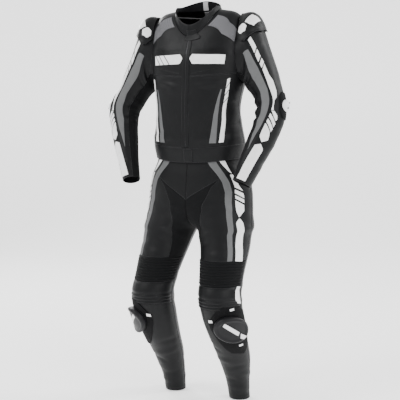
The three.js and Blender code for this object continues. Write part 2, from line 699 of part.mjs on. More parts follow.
// Pieces of the wearer's left half; the right half is their mirror image
function leftPieces() {
  const lastSleeveRow = SLEEVE_ROWS.length - 1;
  return [
    wall('front_lower', 'leather', frontGrid, { cols: [0, FRONT_COLUMNS], rows: [BAND_ROW, CHEST_ROW] }),
    wall('front_upper', 'leather', frontGrid, { cols: [0, FRONT_COLUMNS], rows: [CHEST_ROW, NECK_ROW] }),
    laid('chest_band', 'white', frontGrid, FRONT_LIMITS, CHEST_BAND, STRIP_LAYER),
    laid('side_strip', 'white', frontGrid, FRONT_LIMITS, SIDE_STRIP, STRIP_LAYER),
    laid('shoulder_inlay', 'perforated', frontGrid, FRONT_LIMITS, SHOULDER_INLAY, STRIP_LAYER),
    wall('sleeve_outer', 'leather', sleeveGrid, { cols: [0, 11], rows: [0, lastSleeveRow] }),
    wall('sleeve_inner', 'stretch', sleeveGrid, { cols: [11, 16], rows: [0, lastSleeveRow] }),
    laid('sleeve_grey_strip', 'grey', sleeveGrid, SLEEVE_LIMITS, SLEEVE_GREY, STRIP_LAYER),
    laid('sleeve_white_strip', 'white', sleeveGrid, SLEEVE_LIMITS, SLEEVE_WHITE, STRIP_LAYER),
    laid('forearm_white_band', 'white', sleeveGrid, SLEEVE_LIMITS, FOREARM_WHITE, STRIP_LAYER),
    laid('elbow_base', 'plastic', sleeveGrid, SLEEVE_LIMITS, ELBOW_BASE, { low: LAID_GAP, high: BASE_TOP }),
    laid('elbow_slider', 'white', sleeveGrid, SLEEVE_LIMITS, ELBOW_SLIDER, {
      low: BASE_TOP + LAID_GAP,
      high: BASE_TOP + SLIDER_RIM,
      rise: riseOf(ELBOW_MOUND),
      split: 1,
    }),
    laid('shoulder_cup', 'leather', sleeveGrid, SLEEVE_LIMITS, SHOULDER_CUP, {
      low: LAID_GAP,
      high: CUP_TOP,
      rise: cupRise,
    }),
    wall('hip_front', 'leather', legFrontGrid, { cols: ACROSS_FRONT, rows: [V_ROW, WAIST_ROW] }, keepRight),
    wall('thigh_inner', 'stretch', legFrontGrid, {
      cols: [0, SEAM_COLUMN],
      rows: [ACCORDION_ROW, V_ROW],
    }, keepRight),
    wall('thigh_front', 'leather', legFrontGrid, {
      cols: [SEAM_COLUMN, LEG_FRONT_COLUMNS],
      rows: [ACCORDION_ROW, V_ROW],
    }, keepRight),
    wall('accordion', 'stretch', legFrontGrid, { cols: ACROSS_FRONT, rows: [KNEE_HIGH_ROW, ACCORDION_ROW] }, {
      splitRows: 9,
      relief: ribs,
    }),
    wall('knee', 'leather', legFrontGrid, { cols: ACROSS_FRONT, rows: [KNEE_RIB_ROW, KNEE_HIGH_ROW] }, {
      splitRows: 6,
      relief: kneeRibs,
    }),
    wall('shin', 'leather', legFrontGrid, { cols: ACROSS_FRONT, rows: [0, KNEE_RIB_ROW] }),
    wall('leg_back', 'leather', legBackGrid, { cols: [0, 8], rows: [0, WAIST_ROW] }, keepRight),
    laid('thigh_grey_strip', 'grey', legFrontGrid, LEG_LIMITS, THIGH_GREY, STRIP_LAYER),
    laid('thigh_white_strip', 'white', legFrontGrid, LEG_LIMITS, THIGH_WHITE, STRIP_LAYER),
    laid('knee_patch', 'white', legFrontGrid, LEG_LIMITS, KNEE_WHITE, STRIP_LAYER),
    laid('slider_base', 'plastic', legFrontGrid, LEG_LIMITS, SLIDER_BASE, { low: LAID_GAP, high: BASE_TOP }),
    laid('knee_slider', 'plastic', legFrontGrid, LEG_LIMITS, KNEE_SLIDER, {
      low: BASE_TOP + LAID_GAP,
      high: BASE_TOP + SLIDER_RIM,
      rise: riseOf(KNEE_MOUND),
      split: 1,
    }),
    laid('cup_insert', 'white', sleeveGrid, SLEEVE_LIMITS, CUP_INSERT, {
      low: CUP_TOP + LAID_GAP,
      high: CUP_TOP + LAID_GAP + STRIP,
      rise: cupRise,
      under: cupRise,
    }),
  ];
}

function mirrored(mesh) {
  const copy = mesh.geometry.clone();
  copy.scale(-1, 1, 1);
  const order = copy.getIndex().array;
  for (let k = 0; k < order.length; k += 3) {
    [order[k], order[k + 1]] = [order[k + 1], order[k]];
  }
  copy.computeVertexNormals();
  const other = new THREE.Mesh(copy, mesh.material.clone());
  other.name = `${mesh.name}_right`;
  return other;
}

const backColumns = [0, BACK_COLUMNS];
const collarEnd = neckAngles.length - 1;
const FACING_WALL = 1.2;
const facingLift = -(BAND_WALL + LAID_GAP);
const loopLift = facingLift - FACING_WALL - LAID_GAP;

// The neck tab lies over the top of the front and the foot of the collar
const tabGrid = makeLattice(torso, 4, 4, (i, j) => {
  const u = i - 1;
  const grid = i < 2 ? zipGrid : frontGrid;
  if (j <= 2) {
    const spot = grid[i < 2 ? i : i - 2][[13, 15, 16][j]];
    return { u, v: j, angle: spot.u, at: spot.v };
  }
  return { u, v: j, surface: collar, angle: i === 0 ? -neckAngles[1] : neckAngles[i - 1], at: j - 2 };
});

const centrePieces = [
  wall('zip', 'plastic', zipGrid, { cols: [0, 2], rows: [BAND_ROW, NECK_ROW] }),
  wall('back_panel', 'leather', backGrid, { cols: backColumns, rows: [BAND_ROW, YOKE_ROW] }),
  wall('back_yoke', 'leather', backGrid, { cols: backColumns, rows: [YOKE_ROW, NECK_ROW] }),
  wall('waistband', 'leather', bandGrid, { cols: [0, bandGrid.length - 1], rows: [0, 1] }, { thick: BAND_WALL }),
  wall('collar', 'leather', collarGrid, { cols: [0, collarEnd], rows: [0, 2] }, { thick: BAND_WALL }),
  wall('neck_facing', 'mesh', collarGrid, { cols: [3, collarEnd - 3], rows: [0, 2] }, {
    lift: facingLift,
    thick: FACING_WALL,
  }),
  laid('hanger_loop', 'grey', collarGrid, { cols: [0, collarEnd], rows: [0, 2] }, [
    { at: 0.5, from: 173, to: 187 },
    { at: 1.85, from: 173, to: 187 },
  ], { low: loopLift - FACING_WALL, high: loopLift }),
  laid('neck_tab', 'leather', tabGrid, { cols: [0, 4], rows: [0, 4] }, [
    { at: 0.1, from: -0.9, to: 2.4 },
    { at: 3.4, from: -0.9, to: 2.4 },
  ], { low: LAID_GAP, high: LAID_GAP + 1.6 }),
];

const suit = new THREE.Group();
suit.name = 'race_suit';
for (const piece of leftPieces()) {
  suit.add(mirrored(piece));
  piece.name = `${piece.name}_left`;
  suit.add(piece);
}
for (const piece of centrePieces) suit.add(piece);

export default suit;
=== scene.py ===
import math

import bpy
import numpy as np
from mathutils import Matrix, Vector


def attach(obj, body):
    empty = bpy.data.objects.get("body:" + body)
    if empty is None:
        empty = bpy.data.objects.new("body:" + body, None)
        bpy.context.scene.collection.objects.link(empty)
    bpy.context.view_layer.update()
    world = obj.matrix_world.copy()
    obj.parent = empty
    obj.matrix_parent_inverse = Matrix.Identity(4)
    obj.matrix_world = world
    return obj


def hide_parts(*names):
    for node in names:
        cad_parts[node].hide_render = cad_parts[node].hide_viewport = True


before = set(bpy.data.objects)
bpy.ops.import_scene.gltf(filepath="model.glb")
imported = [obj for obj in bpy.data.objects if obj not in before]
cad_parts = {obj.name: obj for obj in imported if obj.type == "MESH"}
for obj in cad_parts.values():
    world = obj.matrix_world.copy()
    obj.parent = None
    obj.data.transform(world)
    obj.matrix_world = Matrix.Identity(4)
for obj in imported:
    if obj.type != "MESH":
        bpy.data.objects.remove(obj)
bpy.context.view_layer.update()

# Lengths are in millimetres above the hems until a mesh is made
ORIGIN_HEIGHT = 1345.0
SEAM = 0.35
WALL = 1.8
LAID_GAP = 0.35
STRIP = 1.0
CELL = 7.0
EDGE_STEPS = (0.0, 0.9, 2.0, 3.6)
ZIP_HALF_WIDTH = 11.0
ARMHOLE_MIDDLE = 1268.0
ARMHOLE_HALF_HEIGHT = 104.0
ARMHOLE_HALF_ANGLE = 31.0
ARMHOLE_INSET = 0.995
CUP_HEIGHT = 8.0
CUP_MIDDLE = (5, 31)
CUP_HALF = (92, 44)
BASE_LIFT, BASE_THICK = 3.4, 3.2
INSERT_LIFT, INSERT_THICK = 4.6, 2.6
FACING_LIFT, FACING_WALL = -2.9, 1.1
LOOP_LIFT = -4.4
BAND_WALL = 2.4

TORSO_KEYS = ("at", "side", "front", "back", "middle", "wide", "fore", "aft")
TORSO_RINGS = (
    (870, 870, 852, 870, -5, 161, 113, 113),
    (896, 896, 881, 896, -6, 163, 115, 115),
    (947, 947, 935, 947, -13, 169, 118, 118),
    (1011, 1011, 1006, 1011, -20, 160, 114, 115),
    (1060, 1060, 1058, 1060, -24, 154, 112, 114),
    (1108, 1108, 1106, 1108, -22, 158, 112, 118),
    (1166, 1166, 1162, 1166, -16, 170, 114, 124),
    (1233, 1233, 1222, 1233, -12, 178, 116, 128),
    (1290, 1290, 1258, 1292, -10, 178, 113, 124),
    (1335, 1340, 1282, 1340, -8, 172, 106, 112),
    (1366, 1384, 1299, 1384, -9, 160, 98, 98),
    (1386, 1408, 1310, 1408, -11, 136, 91, 84),
    (1404, 1418, 1322, 1424, -17, 84, 79, 66),
)
COLLAR_RINGS = (
    (0, 1418, 1322, 1424, -17, 84, 79, 66),
    (1, 1424, 1341, 1440, -20, 81, 79, 64),
    (2, 1430, 1361, 1456, -23, 80, 76, 64),
)
TORSO_SQUARENESS = 0.045
SLEEVE_KEYS = ("at", "out_x", "out_z", "in_x", "in_z", "middle", "reach", "lean")
SLEEVE_RINGS = (
    (0, 158, 1372, 172, 1164, -4, 68, 0),
    (26, 206, 1392, 174.5, 1157, -4, 71, 0),
    (54, 237, 1348, 179, 1147, -6, 70, 0),
    (89, 261, 1285, 185, 1139, -8, 67, 0),
    (124, 283, 1231, 191, 1131, -12, 64, 3),
    (149, 298, 1194, 202, 1122, -16, 61, 6),
    (173, 309, 1160, 213, 1108, -21, 59, 8),
    (222, 330, 1107, 231, 1072, -36, 55, 13),
    (245, 337, 1077, 234, 1055, -47, 53, 15),
    (295, 336, 1022, 230, 1012, -64, 49, 17),
    (361, 310, 949, 217, 963, -86, 46, 19),
    (431, 278, 880, 203, 903, -110, 42, 19),
    (511, 244, 806, 184, 825, -134, 37, 19),
)
SLEEVE_LENGTH = 511.0
LEG_KEYS = ("at", "x", "y", "wide", "deep", "square")
LEG_RINGS = (
    (8, 132, 54, 38, 40, 0),
    (80, 132, 36, 43, 47, 0),
    (172, 135, -4, 57, 63, 0),
    (247, 135, -52, 65, 73, 0),
    (334, 134, -100, 73, 79, 0),
    (416, 132, -126, 74, 82, 0),
    (480, 127, -101, 75, 84, 0),
    (575, 118, -52, 86, 98, 0),
    (631, 109, -28, 94, 110, 0),
    (648, 104, -22, 103.8, 113, 0),
    (700, 54, -11, 147, 120, 0.01),
    (740, 14, -5, 184, 125, 0.02),
    (780, 0, -2, 194, 126, 0.03),
    (830, 0, -2, 184, 122, 0.04),
    (893, 0, -6, 158, 108.5, 0.045),
    (938, 0, -11.5, 163.4, 113.4, 0.045),
)


def torso_point(ring, angle):
    """A point on a ring of the torso or collar, angle 0 at the front centre."""
    sine, cosine = np.sin(np.radians(angle)), np.cos(np.radians(angle))
    swell = 1 + TORSO_SQUARENESS * np.sin(np.radians(2 * angle)) ** 2
    reach = np.where(cosine > 0, ring["fore"], ring["aft"])
    rim = np.where(cosine > 0, ring["front"], ring["back"])
    x = ring["wide"] * sine * swell
    y = ring["middle"] - reach * cosine * swell
    z = ring["side"] + (rim - ring["side"]) * cosine ** 2
    return np.stack([x, y, z], -1)


def leg_point(ring, angle):
    swell = 1 + ring["square"] * np.sin(np.radians(2 * angle)) ** 2
    x = ring["x"] + ring["wide"] * np.sin(np.radians(angle)) * swell
    y = ring["y"] - ring["deep"] * np.cos(np.radians(angle)) * swell
    return np.stack([x, y, ring["at"] + 0 * x], -1)


def make_tube(keys, rows, point_on):
    """A smooth surface through rings, as a function of angle and station."""
    table = {key: np.array([row[k] for row in rows], float) for k, key in enumerate(keys)}
    stations = table["at"]
    last = len(rows) - 1

    def surface(angle, at):
        angle, at = np.broadcast_arrays(np.asarray(angle, float), np.asarray(at, float))
        low = np.clip(np.searchsorted(stations, at, "right") - 1, 0, last - 1)
        high = low + 1
        before, after = np.maximum(low - 1, 0), np.minimum(high + 1, last)
        points = [point_on({key: values[k] for key, values in table.items()}, angle)
                  for k in (before, low, high, after)]
        span = (stations[high] - stations[low])[..., None]
        t = (at - stations[low])[..., None] / span
        slope0 = (points[2] - points[0]) * span / (stations[high] - stations[before])[..., None]
        slope1 = (points[3] - points[1]) * span / (stations[after] - stations[low])[..., None]
        t2, t3 = t * t, t * t * t
        return (points[1] * (2 * t3 - 3 * t2 + 1) + slope0 * (t3 - 2 * t2 + t)
                + points[2] * (3 * t2 - 2 * t3) + slope1 * (t3 - t2))
    return surface


def normals(surface, angle, at):
    across = surface(angle + 0.4, at) - surface(angle - 0.4, at)
    along = surface(angle, at + 0.4) - surface(angle, at - 0.4)
    out = np.cross(across, along)
    return out / np.maximum(np.linalg.norm(out, axis=-1, keepdims=True), 1e-9)


torso = make_tube(TORSO_KEYS, TORSO_RINGS, torso_point)
collar = make_tube(TORSO_KEYS, COLLAR_RINGS, torso_point)
leg = make_tube(LEG_KEYS, LEG_RINGS, leg_point)


def sleeve_point(ring, angle):
    """A point on a sleeve ring, angle 0 at the outer side; the first ring is the armhole."""
    half_x, half_z = (ring["out_x"] - ring["in_x"]) / 2, (ring["out_z"] - ring["in_z"]) / 2
    sine, cosine = np.sin(np.radians(angle)), np.cos(np.radians(angle))
    lean = np.radians(ring["lean"])
    x = ring["in_x"] + half_x + half_x * cosine
    y = ring["middle"] - ring["reach"] * np.cos(lean) * sine
    z = ring["in_z"] + half_z + half_z * cosine + ring["reach"] * np.sin(lean) * sine
    at = ARMHOLE_MIDDLE + ARMHOLE_HALF_HEIGHT * ARMHOLE_INSET * cosine
    around = 90 - ARMHOLE_HALF_ANGLE * ARMHOLE_INSET * sine
    start = torso(around, at) + normals(torso, around, at) * SEAM
    first = (ring["at"] == 0)[..., None]
    return np.where(first, start, np.stack([x, y, z], -1))


sleeve = make_tube(SLEEVE_KEYS, SLEEVE_RINGS, sleeve_point)

# Folds: start and end (angle, station), half width and height in mm; a trough is negative
TORSO_FOLDS = (
    (14, 1168, 52, 1182, 7, -1.9), (10, 1150, 46, 1164, 8, 2.2), (16, 1132, 58, 1150, 7, -1.6),
    (10, 978, 38, 964, 8, 2.4), (24, 998, 66, 984, 8, -2.2), (52, 966, 88, 974, 7, 2.0),
    (58, 1010, 96, 1030, 9, -2.6), (64, 1050, 104, 1062, 9, 2.6), (60, 1086, 100, 1078, 8, -2.2),
    (30, 1300, 55, 1262, 9, -2.2), (48, 1288, 66, 1236, 8, 1.8), (70, 1140, 98, 1120, 8, 2.2),
    (110, 990, 160, 972, 9, -2.4), (118, 1042, 170, 1030, 10, 2.8), (112, 1088, 150, 1100, 9, -2.2),
    (190, 985, 240, 1004, 9, 2.4), (188, 1060, 238, 1050, 10, -2.6), (206, 1120, 250, 1098, 9, 2.0),
    (125, 1250, 140, 1180, 10, -2.2), (232, 1246, 218, 1176, 10, -2.2), (150, 1330, 210, 1330, 10, -1.6),
)
SLEEVE_FOLDS = (
    (96, 30, 140, 60, 8, -3.2), (104, 58, 168, 92, 9, 3.2), (90, 96, 150, 118, 8, -2.6),
    (112, 176, 196, 190, 8, -3.6), (104, 202, 204, 210, 7, 3.4), (118, 226, 214, 228, 7, -4.2),
    (112, 246, 210, 248, 7, 3.6), (100, 268, 204, 264, 8, -3.6), (106, 292, 190, 284, 8, 2.8),
    (-60, 180, -150, 196, 8, -2.8), (-70, 214, -150, 222, 8, 2.6), (-58, 262, -150, 256, 8, -2.6),
    (60, 330, 130, 346, 8, 1.8), (-20, 318, 48, 330, 8, -1.8), (-60, 360, 20, 376, 9, 2.0),
    (90, 392, 168, 404, 8, -2.2), (-30, 420, 40, 440, 9, -1.8), (-90, 430, -20, 452, 8, 1.8),
    (100, 452, 190, 462, 7, 2.0), (-100, 60, -60, 110, 10, -2.6), (60, 480, 150, 488, 7, -1.6),
)
LEG_FOLDS = (
    (-60, 640, 20, 706, 8, -3.2), (-64, 610, 8, 664, 8, 3.2), (-58, 578, 10, 622, 9, -2.6),
    (-50, 700, 30, 742, 7, 2.2), (20, 612, 60, 590, 9, -2.2), (-20, 560, 40, 572, 9, 2.2),
    (30, 736, 84, 704, 9, 2.2), (56, 682, 96, 650, 9, -2.2), (110, 700, 170, 664, 11, -3.4),
    (120, 660, 196, 624, 11, 3.4), (118, 612, 210, 588, 10, -3.0), (130, 560, 220, 552, 10, 2.6),
    (120, 480, 250, 486, 8, -4.0), (116, 456, 250, 458, 8, 3.8), (112, 430, 250, 428, 8, -4.6),
    (112, 402, 250, 400, 8, 4.0), (116, 376, 246, 374, 8, -3.8), (120, 348, 240, 350, 9, 3.0),
    (-80, 246, -10, 216, 9, -2.2), (-70, 190, 20, 172, 9, 2.2), (-20, 140, 70, 156, 8, -2.0),
    (40, 118, 130, 96, 8, 2.2), (150, 150, 260, 128, 9, -2.4), (-60, 96, 30, 84, 8, -2.0),
    (-30, 60, 80, 52, 7, 1.8), (160, 70, 280, 58, 8, 2.0), (10, 36, 130, 30, 7, -1.6),
    (-12, 800, 24, 834, 8, -1.6), (100, 830, 170, 812, 10, 2.4), (104, 780, 172, 752, 10, -2.4),
)


def folded(surface, folds, radius, side, sway):
    """The surface with soft folds placed on it; the other side's folds differ a little."""
    rng = np.random.default_rng(7 if side > 0 else 19)
    table = np.array(folds, float)
    table[:, [0, 2]] += rng.normal(0, 2.5, (len(table), 2))
    table[:, [1, 3]] += rng.normal(0, 3.0, (len(table), 2))
    table[:, 5] *= rng.uniform(0.75, 1.2, len(table))

    def height(angle, at):
        total = np.zeros(np.shape(angle))
        for u0, v0, u1, v1, wide, rise in table:
            for turn in (-360.0, 0.0, 360.0):
                du, dv = (u1 - u0) * radius, v1 - v0
                pu, pv = (angle - u0 + turn) * radius, at - v0
                share = (pu * du + pv * dv) / (du * du + dv * dv)
                bend = sway * np.sin(share * math.pi * 1.3 + u0)
                off = (pu * dv - pv * du) / math.hypot(du, dv) + bend
                fade = np.exp(-(np.clip(np.abs(share - 0.5) - 0.22, 0, None) / 0.22) ** 2)
                total = total + rise * fade * np.exp(-(off / wide) ** 2)
        return total

    def result(angle, at):
        angle, at = np.broadcast_arrays(np.asarray(angle, float), np.asarray(at, float))
        return surface(angle, at) + normals(surface, angle, at) * height(angle, at)[..., None]
    return result


# Row tables shared with the solids
def armhole_row(index):
    return ARMHOLE_MIDDLE - ARMHOLE_HALF_HEIGHT * np.cos(math.pi * index / 8)


CENTRE_ROWS = np.array([896, 947, 990, 1032, 1075, 1118, 1148, 1165, 1186, 1222, 1268, 1308, 1341, 1362,
                        1373, 1388, 1404], float)
EDGE_ROWS = np.array([896, 947, 990, 1032, 1075, 1118] + [armhole_row(k) for k in range(9)] + [1388, 1404])
ARMPIT_ROW, CHEST_ROW, YOKE_ROW, TOP_ROW, NECK_ROW = 6, 8, 10, 14, 16


def edge_height(row):
    straight = np.interp(row, np.arange(17), EDGE_ROWS)
    inside = (row > ARMPIT_ROW) & (row < TOP_ROW)
    return np.where(inside, armhole_row(np.clip(row - ARMPIT_ROW, 0, 8)), straight)


def side_angle(row, direction):
    inside = ARMHOLE_HALF_ANGLE * np.sin(math.pi * np.clip(row - ARMPIT_ROW, 0, 8) / 8)
    below = 5 * np.clip(ARMPIT_ROW - row, 0, None) / ARMPIT_ROW
    return 90 + direction * inside + below


def angle_at(surface, at, distance, low=0.0, high=60.0):
    """The angle where the surface is a given distance from the middle plane."""
    at = np.asarray(at, float)
    low, high = np.full(at.shape, low), np.full(at.shape, high)
    for _ in range(34):
        middle = (low + high) / 2
        beyond = surface(middle, at)[..., 0] < distance
        low, high = np.where(beyond, middle, low), np.where(beyond, high, middle)
    return (low + high) / 2


def front_map(s, row):
    centre = np.interp(row, np.arange(17), CENTRE_ROWS)
    edge = edge_height(row)
    start = angle_at(torso, centre, ZIP_HALF_WIDTH)
    return start + (side_angle(row, -1) - start) * s, centre + (edge - centre) * s


def back_map(s, row):
    edge = side_angle(row, 1)
    return edge + (360 - 2 * edge) * s, edge_height(row) + 0 * s


LEG_TABLE = np.array([
    (8, 8, 8, 8, -34), (90, 90, 90, 90, -34), (165, 165, 165, 165, -34), (232, 232, 232, 232, -34),
    (292, 292, 292, 292, -34), (342, 342, 342, 342, -34), (382, 382, 382, 382, -34),
    (413, 413, 413, 413, -36), (461, 461, 461, 461, -40), (502, 502, 502, 502, -42),
    (544, 544, 544, 544, -44), (585, 588, 592, 585, -42), (622, 630, 640, 622, -34),
    (648, 662, 676, 648, -20), (659, 688, 706, 660, -5), (676, 715, 735, 678, 8), (702, 756, 780, 705, 20),
    (726, 798, 815, 745, 28), (750, 824, 838, 800, 36), (830, 860, 866, 850, 36), (893, 896, 896, 896, 36),
    (938, 938, 938, 938, 36)], float)
KNEE_RIB_ROW, KNEE_HIGH_ROW, ACCORDION_ROW, V_ROW, WAIST_ROW = 6, 8, 10, 18, 21
MIDDLE_GAP = 0.2


def leg_rows(row, column):
    return np.interp(row, np.arange(len(LEG_TABLE)), LEG_TABLE[:, column])


def middle_angle(at, outer, inner):
    """The angle at which the trouser half meets the middle plane, or the inner seam below it."""
    at = np.asarray(at, float)
    low, high = np.full(at.shape, float(outer)), np.full(at.shape, float(inner))
    free = (leg(low, at)[..., 0] > MIDDLE_GAP) & (leg(high, at)[..., 0] > MIDDLE_GAP)
    for _ in range(34):
        middle = (low + high) / 2
        beyond = leg(middle, at)[..., 0] > MIDDLE_GAP
        low, high = np.where(beyond, low, middle), np.where(beyond, middle, high)
    return np.where(free, float(outer), high)


def leg_front_map(s, row):
    """s runs 0 at the inner edge, 0.375 at the front seam, 1 at the side."""
    front, seam, side = leg_rows(row, 0), leg_rows(row, 1), leg_rows(row, 2)
    turn = leg_rows(row, 4)
    start = middle_angle(front, -90, 5)
    inner = np.clip(s / 0.375, 0, 1)
    outer = np.clip((s - 0.375) / 0.625, 0, 1)
    angle = start + (turn - start) * inner + (90 - turn) * outer
    return angle, front + (seam - front) * inner + (side - seam) * outer


def leg_back_map(s, row):
    rear = leg_rows(row, 3)
    end = middle_angle(rear, 270, 175)
    side = leg_rows(row, 2)
    return 90 + (end - 90) * s, side + (rear - side) * s


# Mesh making
def edged(low, high, size, cell=CELL):
    """Positions from low to high, close together at both edges; size is the length in mm."""
    steps = np.array(EDGE_STEPS) / max(size, 12.0)
    count = max(3, int(round(size / cell)))
    middle = np.linspace(steps[-1], 1 - steps[-1], count + 1)
    return low + (high - low) * np.concatenate([steps[:-1], middle, 1 - steps[:-1][::-1]])


def grid_faces(rows, columns, offset=0, flip=False):
    i, j = np.meshgrid(np.arange(rows - 1), np.arange(columns - 1), indexing="ij")
    a = (i * columns + j).ravel() + offset
    quads = np.stack([a, a + columns, a + columns + 1, a + 1], -1)
    return quads[:, ::-1] if flip else quads


def closed_faces(rows, columns):
    """Faces of a closed shell: an outer grid, an inner grid after it and the rim between them."""
    count = rows * columns
    rim = np.concatenate([np.arange(columns), np.arange(1, rows) * columns + columns - 1,
                          (rows - 1) * columns + np.arange(columns - 2, -1, -1),
                          np.arange(rows - 2, 0, -1) * columns])
    ahead = np.roll(rim, -1)
    return np.concatenate([grid_faces(rows, columns, 0, True), grid_faces(rows, columns, count),
                           np.stack([rim, rim + count, ahead + count, ahead], -1)])


def make_object(name, points, quads, side, uv, extra=None):
    """A finished object from points in mm, mirrored for the wearer's right side."""
    points = np.array(points, float)
    quads = np.array(quads)
    if side < 0:
        points[:, 0] *= -1
        quads = quads[:, ::-1]
    points[:, 2] -= ORIGIN_HEIGHT
    mesh = bpy.data.meshes.new(name)
    mesh.from_pydata((points / 1000).tolist(), [], quads.tolist())
    layer = mesh.uv_layers.new(name="UVMap")
    loops = np.empty(len(mesh.loops), np.int32)
    mesh.loops.foreach_get("vertex_index", loops)
    layer.data.foreach_set("uv", np.asarray(uv, np.float32)[loops].ravel())
    for key, values in (extra or {}).items():
        attribute = mesh.attributes.new(key, "FLOAT", "POINT")
        attribute.data.foreach_set("value", np.asarray(values, np.float32))
    mesh.polygons.foreach_set("use_smooth", np.ones(len(quads), bool))
    mesh.validate()
    thing = bpy.data.objects.new(name, mesh)
    bpy.context.scene.collection.objects.link(thing)
    return thing


def shell(name, side, angle, at, surface, material, slot, node, thick=WALL, lift=0.0, relief=None,
          roll=0.9, floor_x=None):
    """A thin closed shell over a grid of angles and stations, its edges rolled in."""
    points, out = surface(angle, at), normals(surface, angle, at)
    rows, columns = angle.shape
    along = np.linalg.norm(np.diff(points, axis=1), axis=-1)
    down = np.linalg.norm(np.diff(points, axis=0), axis=-1)
    x = np.concatenate([np.zeros((rows, 1)), np.cumsum(along, 1)], 1)
    y = np.concatenate([np.zeros((1, columns)), np.cumsum(down, 0)], 0)
    near = np.minimum(np.minimum(x, x[:, -1:] - x), np.minimum(y, y[-1:, :] - y))
    rise = -roll * np.exp(-(near / 1.3) ** 2)
    if relief is not None:
        rise = rise + relief(angle, at, x / x[:, -1:].clip(1), y / y[-1:, :].clip(1))
    outer = points + out * (lift + rise)[..., None]
    inner = points + out * (lift - thick - roll * 0.3)
    if floor_x is not None:
        outer[..., 0], inner[..., 0] = np.maximum(outer[..., 0], floor_x), np.maximum(inner[..., 0], floor_x)
    quads = closed_faces(rows, columns)
    outward = np.einsum("ij,ij->i", out.reshape(-1, 3),
                        np.cross(np.gradient(points, axis=1), np.gradient(points, axis=0)).reshape(-1, 3))
    if outward.mean() < 0:
        quads = quads[:, ::-1]
    uv = np.stack([x, y], -1).reshape(-1, 2) / 1000
    thing = make_object(name, np.concatenate([outer.reshape(-1, 3), inner.reshape(-1, 3)]),
                        quads, side, np.concatenate([uv, uv]),
                        {"edge": np.tile(near.ravel() / 1000, 2),
                         "across": np.tile((x / x[:, -1:].clip(1)).ravel(), 2),
                         "along": np.tile(((at - at.min()) / 1000).ravel(), 2)})
    finish_piece(thing, material, slot, node)
    cell_area = np.linalg.norm(np.cross(np.gradient(points, axis=1), np.gradient(points, axis=0)), axis=-1)
    thing["cut"] = [float(x[:, -1].mean() / 1000), float(y[-1, :].mean() / 1000),
                    float(cell_area.sum() / 1e6)]
    return thing, outer, out


def finish_piece(thing, material, slot, *nodes):
    thing.data.materials.clear()
    thing.data.materials.append(material)
    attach(thing, "root")
    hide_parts(*nodes)


# Materials
def new_material(name, colour, roughness, metallic=0.0, sheen=0.0, coat=0.0, specular=0.3):
    material = bpy.data.materials.new(name)
    material.use_nodes = True
    shader = material.node_tree.nodes["Principled BSDF"]
    shader.inputs["Base Color"].default_value = (*colour, 1.0)
    shader.inputs["Roughness"].default_value = roughness
    shader.inputs["Metallic"].default_value = metallic
    shader.inputs["Sheen Weight"].default_value = sheen
    shader.inputs["Coat Weight"].default_value = coat
    shader.inputs["Specular IOR Level"].default_value = specular
    return material, material.node_tree, shader


def add_bump(tree, shader, height, distance, strength=1.0, below=None):
    bump = tree.nodes.new("ShaderNodeBump")
    bump.inputs["Strength"].default_value = strength
    bump.inputs["Distance"].default_value = distance
    tree.links.new(height, bump.inputs["Height"])
    if below is not None:
        tree.links.new(below, bump.inputs["Normal"])
    tree.links.new(bump.outputs["Normal"], shader.inputs["Normal"])
    return bump.outputs["Normal"]


def object_texture(tree, kind, scale, **inputs):
    place = tree.nodes.new("ShaderNodeTexCoord")
    texture = tree.nodes.new(kind)
    texture.inputs["Scale"].default_value = scale
    for key, value in inputs.items():
        texture.inputs[key].default_value = value
    tree.links.new(place.outputs["Object"], texture.inputs["Vector"])
    return texture


def vary(tree, source, low, high, target):
    spread = tree.nodes.new("ShaderNodeMapRange")
    spread.inputs["To Min"].default_value = low
    spread.inputs["To Max"].default_value = high
    tree.links.new(source, spread.inputs["Value"])
    tree.links.new(spread.outputs["Result"], target)


def tint(tree, shader, source, low, high):
    """The base colour runs from a dark to a light one with a texture."""
    blend = tree.nodes.new("ShaderNodeMix")
    blend.data_type = "RGBA"
    colours = [socket for socket in blend.inputs if socket.type == "RGBA"]
    colours[0].default_value = (*low, 1.0)
    colours[1].default_value = (*high, 1.0)
    tree.links.new(source, blend.inputs[0])
    result = next(socket for socket in blend.outputs if socket.type == "RGBA")
    tree.links.new(result, shader.inputs["Base Color"])


def leather(name, colour, roughness, grain=0.12, crease=0.5, specular=0.3):
    material, tree, shader = new_material(name, colour, roughness, specular=specular)
    cells = object_texture(tree, "ShaderNodeTexVoronoi", 620.0)
    fine = object_texture(tree, "ShaderNodeTexNoise", 46.0, Detail=5.0, Roughness=0.6)
    broad = object_texture(tree, "ShaderNodeTexNoise", 9.0, Detail=3.0, Distortion=0.6)
    low = add_bump(tree, shader, broad.outputs["Fac"], 0.0012 * crease * 4)
    middle = add_bump(tree, shader, fine.outputs["Fac"], 0.0009 * crease, below=low)
    add_bump(tree, shader, cells.outputs["Distance"], 0.00035, grain * 3, middle)
    vary(tree, fine.outputs["Fac"], roughness - 0.1, roughness + 0.12, shader.inputs["Roughness"])
    darker = tuple(channel * 0.82 for channel in colour)
    lighter = tuple(channel * 1.15 for channel in colour)
    tint(tree, shader, fine.outputs["Fac"], darker, lighter)
    return material


